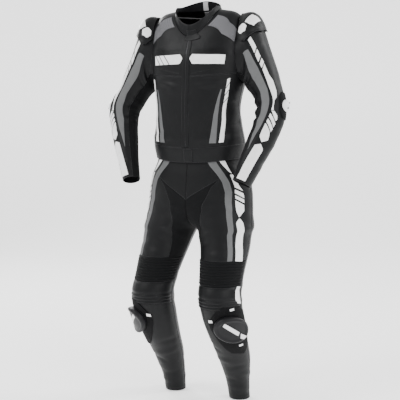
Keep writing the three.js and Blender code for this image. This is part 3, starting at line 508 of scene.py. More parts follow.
def weave(name, colour, roughness, scale=900.0):
    """Matt stretch cloth with fine crossing ribs."""
    material, tree, shader = new_material(name, colour, roughness, sheen=0.03, specular=0.08)
    place = tree.nodes.new("ShaderNodeTexCoord")
    waves = []
    for axis in ("X", "Z"):
        wave = tree.nodes.new("ShaderNodeTexWave")
        wave.bands_direction = axis
        wave.inputs["Scale"].default_value = scale / 6.28
        wave.inputs["Distortion"].default_value = 1.2
        tree.links.new(place.outputs["Object"], wave.inputs["Vector"])
        waves.append(wave)
    both = tree.nodes.new("ShaderNodeMath")
    both.operation = "MULTIPLY"
    tree.links.new(waves[0].outputs["Fac"], both.inputs[0])
    tree.links.new(waves[1].outputs["Fac"], both.inputs[1])
    broad = object_texture(tree, "ShaderNodeTexNoise", 30.0, Detail=3.0)
    low = add_bump(tree, shader, broad.outputs["Fac"], 0.0014)
    add_bump(tree, shader, both.outputs["Value"], 0.0003, 0.7, low)
    return material


BLACK = leather("black_leather_look", (0.0048, 0.0050, 0.0055), 0.44, specular=0.13)
STRETCH = weave("stretch_cloth_look", (0.0042, 0.0044, 0.0048), 0.82)
GREY = leather("grey_leather_look", (0.098, 0.10, 0.102), 0.55, crease=0.25, specular=0.15)
PERFORATED = leather("perforated_leather_look", (0.122, 0.122, 0.130), 0.58, crease=0.2, specular=0.15)
WHITE = leather("white_leather_look", (0.82, 0.82, 0.82), 0.45, grain=0.05, crease=0.2)
BASE_PLASTIC = weave("hook_tape_look", (0.004, 0.004, 0.0045), 0.85, 1500.0)
SLIDER = new_material("slider_plastic_look", (0.007, 0.007, 0.008), 0.42, specular=0.15)[0]
WHITE_PLASTIC = new_material("white_plastic_look", (0.80, 0.80, 0.81), 0.28, coat=0.2)[0]
MESH_CLOTH = weave("mesh_cloth_look", (0.006, 0.006, 0.007), 0.85, 1100.0)
ZIP_TAPE = weave("zip_tape_look", (0.004, 0.004, 0.0045), 0.7, 1300.0)
METAL = new_material("dark_metal_look", (0.035, 0.035, 0.037), 0.4, metallic=1.0)[0]
THREAD = new_material("thread_look", (0.022, 0.022, 0.024), 0.6)[0]
# Near-black: the dark lining seen through the perforations, with painted shade in the holes and in the screw
# slots
HOLE_LINING_AND_SHADE = new_material("hole_lining_and_painted_shade_look", (0.004, 0.004, 0.004), 0.9, specular=0.05)[0]
SILVER = new_material("silver_piping_look", (0.42, 0.42, 0.43), 0.4)[0]


# Panels
def spread(surface, mapping, s_range=(0.0, 1.0), rows=(0.0, 1.0), cell=CELL):
    """A fine grid of angles and stations over a panel, closer at its edges."""
    s_fine = np.linspace(*s_range, 121)
    row_fine = np.linspace(*rows, 241)
    lines = []
    for fine, other, first in ((s_fine, np.mean(rows), True), (row_fine, np.mean(s_range), False)):
        still = np.full(fine.shape, other)
        points = surface(*(mapping(fine, still) if first else mapping(still, fine)))
        arc = np.concatenate([[0], np.cumsum(np.linalg.norm(np.diff(points, axis=0), axis=1))])
        lines.append(np.interp(edged(0, arc[-1], arc[-1], CELL if first else cell), arc, fine))
    s, row = np.meshgrid(*lines)
    return mapping(s, row)


def rung_map(table):
    """Rungs (at, at_end, from, to) as a map: s runs across, t along in mm from the first rung."""
    rungs = np.array(table, float)

    def measured(surface):
        middle = surface((rungs[:, 2] + rungs[:, 3]) / 2, (rungs[:, 0] + rungs[:, 1]) / 2)
        return np.concatenate([[0], np.cumsum(np.linalg.norm(np.diff(middle, axis=0), axis=1))])

    def place(surface):
        length = measured(surface)

        def mapping(s, t):
            columns = [np.interp(t, length, rungs[:, k]) for k in range(4)]
            return (columns[2] + (columns[3] - columns[2]) * s, columns[0] + (columns[1] - columns[0]) * s)
        return mapping, length[-1]
    return place


pieces = {}


def sheet_piece(name, side, surface, grid, material, slot, node, held="stretched", **options):
    thing, outer, out = shell(name, side, *grid, surface, material, slot, node, **options)
    width, length, area = thing["cut"]
    width, length = max(width, 0.0105), max(length, 0.0105)
    area = float(np.clip(area, 0.31 * width * length, width * length))
    pieces[name] = (thing, outer, out)
    return thing


def strip(name, side, surface, table, material, slot, node, cuts=(), slant=0.0, lift=STRIP + LAID_GAP,
          thick=1.3, roll=0.35, relief=None):
    """A laid strip between rungs, parted by slanting slashes at the given cuts (middle, gap)."""
    mapping, length = rung_map(table)(surface)
    limits = [0.0]
    for middle, gap in cuts:
        limits += [middle - gap / 2, middle + gap / 2]
    limits.append(length)
    for k in range(0, len(limits), 2):
        low, high = limits[k], limits[k + 1]
        low_slant, high_slant = (slant if k else 0.0), (slant if k + 2 < len(limits) else 0.0)

        def bar(s, share, low=low, high=high, low_slant=low_slant, high_slant=high_slant):
            start, end = low + low_slant * (s - 0.5), high + high_slant * (s - 0.5)
            return mapping(s, start + (end - start) * share)
        label = name if len(limits) == 2 else f"{name}_{k // 2 + 1}"
        sheet_piece(label, side, surface, spread(surface, bar), material, slot, node, held="laid",
                    thick=thick, lift=lift, roll=roll, relief=relief)


def side_name(name, side):
    return f"{name}_{'left' if side > 0 else 'right'}"


def accordion_relief(count, height, fade=0.06):
    def relief(angle, at, x, y):
        ends = np.clip(np.minimum(x, 1 - x) / fade, 0, 1) * np.clip(np.minimum(y, 1 - y) / 0.04, 0, 1)
        return height * ends * np.abs(np.sin(math.pi * count * y)) ** 0.7
    return relief


def knee_relief(angle, at, x, y):
    """Lower knee ribs, then a plain pad above."""
    lower = np.clip(y / 0.42, 0, 1)
    ends = np.clip(np.minimum(x, 1 - x) / 0.08, 0, 1)
    ribs = 3.2 * np.abs(np.sin(math.pi * 3 * lower)) ** 0.8 * (y < 0.42)
    pad = 2.0 * np.clip((y - 0.46) / 0.08, 0, 1) * np.clip((0.97 - y) / 0.08, 0, 1)
    return ends * (ribs + pad)


# Laid strips as rungs: station at the first angle, station at the last one, first angle, last angle
SHOULDER_INLAY = ((1310, 1346, 59, 66), (1355, 1371, 42, 58), (1399, 1399, 38.5, 62))
CHEST_BAND = ((1263.5, 1265.5, 4.3, 4.5), (1236, 1289, 7.5, 7), (1228, 1265, 45.5, 46.5))
SIDE_WHITE = ((959, 960, 41.5, 48), (1035, 1035, 50, 56), (1104, 1108, 53, 58.5), (1173, 1177, 52, 56))
SIDE_GREY = ((959, 958, 29.5, 38), (1066, 1066, 40, 46), (1138, 1138, 45, 47))
SLEEVE_GREY = ((50, 30, 79, 97), (115, 82, 71.5, 102.5), (150, 150, 72.5, 102), (188, 188, 69.5, 99),
               (222, 222, 74, 105.5), (258, 258, 79.5, 108.5), (291, 291, 88, 117), (335, 335, 95, 114),
               (401, 402, 107, 109))
SLEEVE_BARS = (
    ((44, 40, 58.5, 69), (72, 76, 54.5, 66)),
    ((77, 80, 53.5, 65), (96, 103, 51, 64)),
    ((102, 110, 50, 62.5), (115, 124, 48, 61.5)),
    ((119, 129, 48.5, 61.5), (151, 149, 48.5, 63), (168, 173, 39.5, 62), (201, 202, 39.5, 61.5),
     (224, 222, 45, 61), (232, 234, 56, 61.5), (249, 249, 59.5, 63.5), (263, 261, 58.5, 67)),
    ((266, 264, 54.5, 66), (280, 283, 42, 55.5), (293, 297, 39.5, 44)),
    ((272, 283, 69.5, 73.5), (306, 317, 41, 43.5)),
    ((290, 300, 74, 77.5), (322, 332, 43, 45.5)),
    ((307, 306, 76.5, 79), (333, 332, 49, 80), (345, 352, 44, 79.5), (358, 369, 41, 62)),
)
FOREARM_WHITE = ((375, 383, 61.5, 82.5), (390, 404, 41, 86), (503, 503, 50, 104))
ELBOW_BASE = ((206, 206, -18, 18), (222, 222, -34, 34), (264, 264, -34, 34), (284, 284, -16, 16))
SHOULDER_CUP = ((4, 4, -46, 60), (18, 18, -64, 77), (30, 30, -62, 77), (42, 42, -48, 58), (60, 60, -18, 20))
CUP_INSERT = ((8, 8, 46, 55), (16, 16, 43, 65), (27, 27, 51, 61))
CUP_SECOND = ((21, 26, 43, 22), (30, 36, 46, 14), (40, 43, 40, 12))
THIGH_GREY = ((546, 546, 33, 45), (636, 636, 29.5, 40.5), (720, 720, 40.5, 49), (781, 781, 43, 52),
              (815, 815, 40.5, 49.5), (843, 843, 35.5, 45), (875, 875, 28, 39.5), (894, 894, 25.5, 37))
THIGH_BARS = (
    ((852, 845, 51.5, 55), (882, 889, 43.5, 50.5), (894, 894, 41.5, 47.5)),
    ((797, 784, 56, 69), (800, 801, 56, 63), (822, 820, 53.5, 60), (841, 842, 52, 56)),
    ((777, 758, 55.5, 70.5), (790, 774, 56, 69.5)),
    ((758, 741, 56, 70), (770, 753, 55.5, 70)),
    ((694, 695, 57.5, 59.5), (716, 713, 54.5, 68), (752, 734, 55.5, 69.5)),
    ((546, 541, 53, 75), (600, 597, 49, 67), (675, 676, 50, 64), (689, 688, 57.5, 59.5)),
)
KNEE_WHITE = ((405, 400, 75, 90), (420, 423, 68, 86), (447, 448, 67, 81), (461, 458, 71.5, 84.5))
SLIDER_BASE = ((212, 206, 26, 66), (229, 225, 11.5, 84), (266, 250, -5, 100), (309, 290, -17.5, 104),
               (338, 330, -18, 104), (378, 372, 10, 98), (398, 392, 32, 84))


def cup_surface(angle, at):
    """The sleeve head raised by the oval mound of the shoulder cup."""
    angle, at = np.broadcast_arrays(np.asarray(angle, float), np.asarray(at, float))
    off = ((angle - CUP_MIDDLE[0]) / CUP_HALF[0]) ** 2 + ((at - CUP_MIDDLE[1]) / CUP_HALF[1]) ** 2
    share = np.clip(1 - off, 0, 1)
    return sleeve(angle, at) + normals(sleeve, angle, at) * (CUP_HEIGHT * np.sqrt(share))[..., None]


def cup_relief(angle, at, x, y):
    """Stitched grooves that part the cup into a rim and raised ribs."""
    rim = np.minimum(np.minimum(x, 1 - x) * 5.5, np.minimum(y, 1 - y) * 4.0)
    groove = -1.8 * np.exp(-((rim - 0.42) / 0.10) ** 2)
    ribs = -1.5 * np.exp(-((np.mod(x * 6.0, 1.0) - 0.5) / 0.10) ** 2) * (rim > 0.6)
    return groove + ribs


# Sliders: middle (angle, station), radii and tilt, profile (share of radius, height)
PUCK_CENTRE, PUCK_RADII, PUCK_TILT = (43, 317), (57, 54), -28
PUCK_PROFILE = ((0.001, 21.5), (0.3, 21.6), (0.55, 21.8), (0.70, 22.0), (0.745, 23.0), (0.78, 24.6),
                (0.86, 25.0), (0.93, 24.0), (0.975, 21.5), (1.0, 16), (1.01, 9), (0.98, 4.6),
                (0.94, 3.8), (0.001, 3.7))
PUCK_FACE_RINGS = 9
DOME_CENTRE, DOME_RADII = (0, 245), (23, 20)
DOME_PROFILE = ((0.001, 15.5), (0.3, 15.2), (0.6, 13.6), (0.82, 10.8), (0.94, 8.0), (1.0, 5.6),
                (1.02, 3.9), (0.98, 3.6), (0.001, 3.6))
SCREW_ANGLES, SCREW_STATIONS = (-6.0, 7.0), (236.0, 252.0)
SCREW_LIFT, SLOT_LIFT = 14.2, 15.5
SCREW_SIZE, SLOT_SIZE = (6.0, 6.0, 2.4), (4.4, 0.9, 0.5)
STRIPE_CORNERS = ((23, 338), (52, 297), (57, 309), (28, 349))
MARK_CORNERS = ((56.5, 286), (64, 281), (73, 289), (60, 303))
MARK_RISE, MARK_DEPTH = 0.7, 0.6
# Tabs on the slider's base: angle, station, half angle, height
BASE_TABS = ((54, 385, 6, 8), (-10, 340, 6, 10), (62, 243, 7, 7))
TAB_SLANT = 2


def puck(name, side, surface, centre, radii, tilt, profile, material, slot, node, spokes=48):
    """A hard disc on a surface, turned from a profile of (share of radius, height)."""
    turn = math.radians(tilt)
    phi = np.linspace(0, 2 * math.pi, spokes, endpoint=False)
    per_degree = np.linalg.norm(surface(centre[0] + 1, centre[1]) - surface(centre[0] - 1, centre[1])) / 2
    per_station = np.linalg.norm(surface(centre[0], centre[1] + 1) - surface(centre[0], centre[1] - 1)) / 2
    middle, lead = surface(*centre), normals(surface, np.array(centre[0]), np.array(centre[1]))
    points = []
    for share, height in profile:
        a, b = radii[0] * share * np.cos(phi), radii[1] * share * np.sin(phi)
        dx, dy = a * math.cos(turn) - b * math.sin(turn), a * math.sin(turn) + b * math.cos(turn)
        angle, at = centre[0] + dx / per_degree, centre[1] + dy / per_station
        base, out = surface(angle, at), normals(surface, angle, at)
        points.append(base + out * height)
    points = np.array(points)
    rings = len(profile)
    quads = []
    for r in range(rings - 1):
        a = r * spokes + np.arange(spokes)
        b = r * spokes + (np.arange(spokes) + 1) % spokes
        quads.append(np.stack([a, a + spokes, b + spokes, b], -1))
    quads = np.concatenate(quads)
    flat_points = points.reshape(-1, 3)
    uv = np.stack([np.tile(np.cos(phi), rings), np.tile(np.sin(phi), rings)], -1)
    sample = flat_points[quads[0]]
    normal = np.cross(sample[1] - sample[0], sample[2] - sample[0])
    if np.dot(normal, lead) < 0:
        quads = quads[:, ::-1]
    thing = make_object(name, flat_points, quads, side, uv)
    finish_piece(thing, material, slot, node)
    return thing


def repeat_tree(shape):
    """A node tree that sets a small box or disc on each point, turned by two attributes."""
    tree = bpy.data.node_groups.new(f"repeat_{shape}", "GeometryNodeTree")
    tree.interface.new_socket("Geometry", in_out="INPUT", socket_type="NodeSocketGeometry")
    for key, value in (("Length", 0.0025), ("Width", 0.0008), ("Height", 0.0006)):
        socket = tree.interface.new_socket(key, in_out="INPUT", socket_type="NodeSocketFloat")
        socket.default_value = value
    seed = tree.interface.new_socket("Seed", in_out="INPUT", socket_type="NodeSocketInt")
    seed.default_value = 3
    tree.interface.new_socket("Material", in_out="INPUT", socket_type="NodeSocketMaterial")
    tree.interface.new_socket("Geometry", in_out="OUTPUT", socket_type="NodeSocketGeometry")
    add, link = tree.nodes.new, tree.links.new
    entry, leave = add("NodeGroupInput"), add("NodeGroupOutput")
    if shape == "box":
        form = add("GeometryNodeMeshCube")
    else:
        form = add("GeometryNodeMeshCylinder")
        form.inputs["Vertices"].default_value = 8 if shape == "disc" else 20
        form.inputs["Radius"].default_value = 0.5
        form.inputs["Depth"].default_value = 1.0
    turn = None
    for axis, key in (("Z", "out_way"), ("X", "along_way")):
        way = add("GeometryNodeInputNamedAttribute")
        way.data_type = "FLOAT_VECTOR"
        way.inputs["Name"].default_value = key
        align = add("FunctionNodeAlignRotationToVector")
        align.axis = axis
        if turn is not None:
            align.pivot_axis = "Z"
            link(turn, align.inputs["Rotation"])
        link(way.outputs["Attribute"], align.inputs["Vector"])
        turn = align.outputs["Rotation"]
    size = add("ShaderNodeCombineXYZ")
    for key, axis in (("Length", "X"), ("Width", "Y"), ("Height", "Z")):
        link(entry.outputs[key], size.inputs[axis])
    uneven = add("FunctionNodeRandomValue")
    uneven.data_type = "FLOAT"
    uneven.inputs[2].default_value = 0.9
    uneven.inputs[3].default_value = 1.08
    link(entry.outputs["Seed"], uneven.inputs["Seed"])
    scaled = add("ShaderNodeVectorMath")
    scaled.operation = "SCALE"
    link(size.outputs["Vector"], scaled.inputs[0])
    link(uneven.outputs[1], scaled.inputs["Scale"])
    spots = add("GeometryNodeInstanceOnPoints")
    link(entry.outputs["Geometry"], spots.inputs["Points"])
    link(form.outputs["Mesh"], spots.inputs["Instance"])
    link(turn, spots.inputs["Rotation"])
    link(scaled.outputs["Vector"], spots.inputs["Scale"])
    real, look = add("GeometryNodeRealizeInstances"), add("GeometryNodeSetMaterial")
    link(spots.outputs["Instances"], real.inputs["Geometry"])
    link(real.outputs["Geometry"], look.inputs["Geometry"])
    link(entry.outputs["Material"], look.inputs["Material"])
    link(look.outputs["Geometry"], leave.inputs["Geometry"])
    return tree


TREES = {shape: repeat_tree(shape) for shape in ("box", "disc", "round")}


def repeated(name, points, out, along, size, material, side=1, shape="box", seed=3):
    """Small parts on points in mm, made with Geometry Nodes and kept as one mesh."""
    points, out, along = (np.array(values, float).reshape(-1, 3) for values in (points, out, along))
    if side < 0:
        for values in (points, out, along):
            values[:, 0] *= -1
    points[:, 2] -= ORIGIN_HEIGHT
    mesh = bpy.data.meshes.new(name + "_points")
    mesh.from_pydata((points / 1000).tolist(), [], [])
    for key, values in (("out_way", out), ("along_way", along)):
        attribute = mesh.attributes.new(key, "FLOAT_VECTOR", "POINT")
        attribute.data.foreach_set("vector", values.astype(np.float32).ravel())
    thing = bpy.data.objects.new(name, mesh)
    bpy.context.scene.collection.objects.link(thing)
    modifier = thing.modifiers.new("repeat", "NODES")
    modifier.node_group = TREES[shape]
    values = {"Length": size[0] / 1000, "Width": size[1] / 1000, "Height": size[2] / 1000, "Seed": seed,
              "Material": material}
    for item in TREES[shape].interface.items_tree:
        if item.item_type == "SOCKET" and item.in_out == "INPUT" and item.name in values:
            modifier[item.identifier] = values[item.name]
    bpy.context.view_layer.update()
    made = bpy.data.meshes.new_from_object(thing.evaluated_get(bpy.context.evaluated_depsgraph_get()))
    thing.modifiers.clear()
    thing.data = made
    bpy.data.meshes.remove(mesh)
    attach(thing, "root")
    return thing


STITCH = (2.7, 0.75, 0.55)
STITCH_STEP = 3.8
TOOTH = (3.2, 1.3, 1.2)
TEETH_STEP = 2.6
TEETH_SPAN = (950.0, 1392.0)


def stitches(name, side, edges, inset=2):
    """Lines of stitches a little inside the named edges of a panel."""
    outer, out = pieces[name][1:]
    lines = {"left": (outer[inset:-inset, inset], out[inset:-inset, inset]),
             "right": (outer[inset:-inset, -1 - inset], out[inset:-inset, -1 - inset]),
             "low": (outer[inset, inset:-inset], out[inset, inset:-inset]),
             "high": (outer[-1 - inset, inset:-inset], out[-1 - inset, inset:-inset])}
    places, ways, runs = [], [], []
    for edge in edges:
        line, way = lines[edge]
        arc = np.concatenate([[0], np.cumsum(np.linalg.norm(np.diff(line, axis=0), axis=1))])
        if arc[-1] < 3 * STITCH_STEP:
            continue
        at = np.arange(STITCH_STEP, arc[-1] - STITCH_STEP / 2, STITCH_STEP)
        spot = np.stack([np.interp(at, arc, line[:, k]) for k in range(3)], -1)
        lead = np.stack([np.interp(at, arc, way[:, k]) for k in range(3)], -1)
        ahead = np.stack([np.interp(at + 0.6, arc, line[:, k]) for k in range(3)], -1) - spot
        places.append(spot + lead * 0.12)
        ways.append(lead)
        runs.append(ahead)
    if places:
        repeated(name + "_stitches", *(np.concatenate(group) for group in (places, ways, runs)), STITCH,
                 THREAD, side)


# Near-black discs over the perforations: the dark lining behind them plus painted shade in each hole
def holes(name, side, surface, angle, at, lift, size=1.3):
    out = normals(surface, angle, at)
    along = surface(angle + 0.3, at) - surface(angle, at)
    repeated(name, surface(angle, at) + out * lift, out, along, (size, size, 0.3), HOLE_LINING_AND_SHADE, side, "disc")


def mirrored_pieces(side):
    """Every piece of one half of the suit."""
    body = folded(torso, TORSO_FOLDS, 2.6, side, 3.0)
    arm = folded(sleeve, SLEEVE_FOLDS, 1.0, side, 2.5)
    thigh = folded(leg, LEG_FOLDS, 1.5, side, 3.5)

    def piece(name, surface, grid, material, slot, **options):
        node = side_name(name, side)
        sheet_piece(node + "_shell", side, surface, grid, material, slot, node, **options)

    def stripe(name, surface, table, material, slot, node=None, **options):
        strip(side_name(name, side) + "_cut", side, surface, table, material, slot,
              side_name(node or name, side), **options)

    piece("front_lower", body, spread(torso, front_map, rows=(1, CHEST_ROW)), BLACK, "black_leather")
    piece("front_upper", body, spread(torso, front_map, rows=(CHEST_ROW, NECK_ROW)), BLACK, "black_leather")
    stripe("chest_band", body, CHEST_BAND, WHITE, "white_leather",
           cuts=() if side > 0 else ((64, 4.4), (88, 4.4), (108, 4.4)), slant=24)
    stripe("side_strip", body, SIDE_WHITE, WHITE, "white_leather",
           cuts=((146, 5), (172, 5), (198, 5)), slant=14)
    stripe("side_grey", body, SIDE_GREY, GREY, "white_leather", node="side_strip")
    stripe("shoulder_inlay", body, SHOULDER_INLAY, PERFORATED, "perforated_leather")

    def sleeve_map(low, high):
        return lambda s, v: (low + (high - low) * s, v)
    piece("sleeve_outer", arm, spread(arm, sleeve_map(-112.5, 135), rows=(0.0, SLEEVE_LENGTH)), BLACK,
          "black_leather")
    piece("sleeve_inner", arm, spread(arm, sleeve_map(135, 247.5), rows=(0.0, SLEEVE_LENGTH)), STRETCH,
          "stretch_cloth")
    stripe("sleeve_grey_strip", arm, SLEEVE_GREY, GREY, "grey_leather")
    for number, bar in enumerate(SLEEVE_BARS, 1):
        stripe(f"sleeve_white_bar_{number}", arm, bar, WHITE, "white_leather", node="sleeve_white_strip")
    stripe("forearm_white_band", arm, FOREARM_WHITE, WHITE, "white_leather")
    stripe("elbow_base", arm, ELBOW_BASE, BASE_PLASTIC, "black_plastic", lift=BASE_LIFT,
           thick=BASE_THICK)

    piece("hip_front", thigh, spread(leg, leg_front_map, rows=(V_ROW, WAIST_ROW)), BLACK, "black_leather",
          floor_x=MIDDLE_GAP)
    piece("thigh_inner", thigh, spread(leg, leg_front_map, (0, 0.375), (ACCORDION_ROW, V_ROW)), STRETCH,
          "stretch_cloth", floor_x=MIDDLE_GAP)
    piece("thigh_front", thigh, spread(leg, leg_front_map, (0.375, 1), (ACCORDION_ROW, V_ROW)), BLACK,
          "black_leather")
    piece("accordion", leg, spread(leg, leg_front_map, rows=(KNEE_HIGH_ROW, ACCORDION_ROW), cell=1.3), STRETCH,
          "stretch_cloth", relief=accordion_relief(9, 3.4))
    piece("knee", leg, spread(leg, leg_front_map, rows=(KNEE_RIB_ROW, KNEE_HIGH_ROW), cell=1.5), BLACK,
          "black_leather", relief=knee_relief)
    piece("shin", thigh, spread(leg, leg_front_map, rows=(0, KNEE_RIB_ROW)), BLACK, "black_leather")
    piece("leg_back", thigh, spread(leg, leg_back_map, rows=(0, WAIST_ROW)), BLACK, "black_leather",
          floor_x=MIDDLE_GAP)
    stripe("thigh_grey_strip", thigh, THIGH_GREY, GREY, "grey_leather")
    for number, bar in enumerate(THIGH_BARS, 1):
        stripe(f"thigh_white_bar_{number}", thigh, bar, WHITE, "white_leather", node="thigh_white_strip")
    stripe("knee_patch", leg, KNEE_WHITE, WHITE, "white_leather", lift=3.0)
    stripe("slider_base", leg, SLIDER_BASE, BASE_PLASTIC, "black_plastic", lift=BASE_LIFT, thick=BASE_THICK)

    node = side_name("elbow_slider", side)
    puck(node + "_dome", side, sleeve, DOME_CENTRE, DOME_RADII, 0, DOME_PROFILE, WHITE_PLASTIC,
         "white_plastic", node)
    node = side_name("knee_slider", side)
    puck(node + "_puck", side, leg, PUCK_CENTRE, PUCK_RADII, PUCK_TILT, PUCK_PROFILE, SLIDER,
         "slider_plastic", node)

    stripe("shoulder_cup", cup_surface, SHOULDER_CUP, BLACK, "black_leather", lift=2.4, thick=3.0,
           relief=cup_relief)
    stripe("cup_insert", cup_surface, CUP_INSERT, WHITE, "white_leather", lift=INSERT_LIFT,
           thick=INSERT_THICK, roll=0.8)
    stripe("cup_second_insert", cup_surface, CUP_SECOND, WHITE, "white_leather", node="cup_insert",
           lift=INSERT_LIFT, thick=INSERT_THICK, roll=0.8)


def half_details(side):
    """Stitches, holes, screws and the small parts of the sliders of one half."""
    def shelled(name):
        return side_name(name, side) + "_shell"

    for name, edges in (("front_lower", ("left", "right", "high")), ("front_upper", ("left", "right", "low")),
                        ("sleeve_outer", ("left", "right", "high", "low")), ("hip_front", ("right", "low")),
                        ("thigh_front", ("left", "right", "low", "high")), ("knee", ("left", "right", "high")),
                        ("shin", ("left", "right", "high", "low")),
                        ("leg_back", ("left", "right", "high", "low"))):
        stitches(shelled(name), side, edges)
    stitches(side_name("shoulder_inlay", side) + "_cut", side, ("left", "right", "low"), 1)
    stitches(side_name("shoulder_cup", side) + "_cut", side, ("left", "right", "low", "high"), 1)

    s, t = np.meshgrid(np.linspace(0.08, 0.92, 17), np.linspace(0.05, 0.95, 20))
    rungs = np.array(SHOULDER_INLAY, float)
    place = [np.interp(t * (len(rungs) - 1), np.arange(len(rungs)), rungs[:, k]) for k in range(4)]
    holes(side_name("inlay_holes", side), side, torso, place[2] + (place[3] - place[2]) * s,
          place[0] + (place[1] - place[0]) * s, STRIP + LAID_GAP + 0.05, 1.5)
    s, t = np.meshgrid(np.linspace(0, 1, 34), np.linspace(0, 1, 6))
    holes(side_name("chest_holes", side), side, torso, 9 + 36 * s, 1296 - 24 * s + 22 * t, 0.1, 1.3)

    angles, stations = np.array(SCREW_ANGLES), np.array(SCREW_STATIONS)
    lead = normals(sleeve, angles, stations)
    slot_way = np.cross(lead, [0.0, 0.3, 1.0])
    repeated(side_name("elbow_screws", side), sleeve(angles, stations) + lead * SCREW_LIFT, lead, slot_way,
             SCREW_SIZE, METAL, side, "round")
    # The slots are near-black boxes on the screw heads: painted shade in the slots
    repeated(side_name("elbow_screw_slots", side), sleeve(angles, stations) + lead * SLOT_LIFT, lead,
             slot_way, SLOT_SIZE, HOLE_LINING_AND_SHADE, side, "box")
    slider_marks(side)


def slider_top(share):
    """Height of the knee slider's face at a share of its radius."""
    face = PUCK_PROFILE[:PUCK_FACE_RINGS]
    return np.interp(share, [p[0] for p in face], [p[1] for p in face])


def on_slider(angle, at, lift):
    """Points over the knee slider's face at leg angles and stations."""
    turn = math.radians(PUCK_TILT)
    centre = PUCK_CENTRE
    per_degree = np.linalg.norm(leg(centre[0] + 1, centre[1]) - leg(centre[0] - 1, centre[1])) / 2
    per_station = np.linalg.norm(leg(centre[0], centre[1] + 1) - leg(centre[0], centre[1] - 1)) / 2
    across, up = (angle - centre[0]) * per_degree, (at - centre[1]) * per_station
    dx, dy = across * math.cos(turn) + up * math.sin(turn), up * math.cos(turn) - across * math.sin(turn)
    share = np.hypot(dx / PUCK_RADII[0], dy / PUCK_RADII[1])
    return leg(angle, at) + normals(leg, angle, at) * (slider_top(share) + lift)[..., None]


def slider_marks(side):
    """White stripe and end mark in the slider's face, and three tabs on its base."""
    node = side_name("knee_slider", side)

    def plate(name, corners):
        corners = np.array(corners, float)
        s, t = np.meshgrid(np.linspace(0, 1, 9), np.linspace(0, 1, 13))
        low = corners[0] * (1 - s[..., None]) + corners[1] * s[..., None]
        high = corners[3] * (1 - s[..., None]) + corners[2] * s[..., None]
        flat = low * (1 - t[..., None]) + high * t[..., None]
        top = on_slider(flat[..., 0], flat[..., 1], MARK_RISE)
        under = on_slider(flat[..., 0], flat[..., 1], -MARK_DEPTH)
        uv = flat.reshape(-1, 2) / 1000
        thing = make_object(name, np.concatenate([top.reshape(-1, 3), under.reshape(-1, 3)]),
                            closed_faces(*s.shape), side, np.concatenate([uv, uv]))
        finish_piece(thing, WHITE_PLASTIC, "slider_plastic", node)

    plate(node + "_stripe", STRIPE_CORNERS)
    plate(node + "_mark", MARK_CORNERS)
    base = side_name("slider_base", side)
    for number, (angle, at, half, tall) in enumerate(BASE_TABS, 1):
        rungs = [(edge, edge + TAB_SLANT, angle - half, angle + half) for edge in (at - tall / 2, at + tall / 2)]
        strip(f"{base}_tab_{number}", side, leg, rungs, WHITE, "black_plastic", base, lift=4.2, thick=1.0)


for wearer_side in (1, -1):
    mirrored_pieces(wearer_side)
    half_details(wearer_side)


def tab_surface(angle, at):
    """The front below the neck seam and the collar foot above it, as one strip."""
    angle, at = np.broadcast_arrays(np.asarray(angle, float), np.asarray(at, float))
    below = torso(angle, np.minimum(at, 0) * 22 + 1404)
    above = collar(angle, np.clip(at, 0, 2))
    return np.where((at > 0)[..., None], above, below)


def neck_tab():
    s, t = np.meshgrid(np.linspace(0, 1, 22), np.linspace(0, 1, 26))
    outer_edge = 18 - 2 * np.clip(1 - t * 5, 0, 1)
    angle, at = -6 + (outer_edge + 6) * s, -1.25 + (2.3 - 0.2 * s) * t
    sheet_piece("neck_tab_shell", 1, tab_surface, (angle, at), BLACK, "black_leather", "neck_tab", held="laid",
                thick=1.6, lift=2.6, roll=0.6)
    stitches("neck_tab_shell", 1, ("left", "right", "low", "high"), 1)


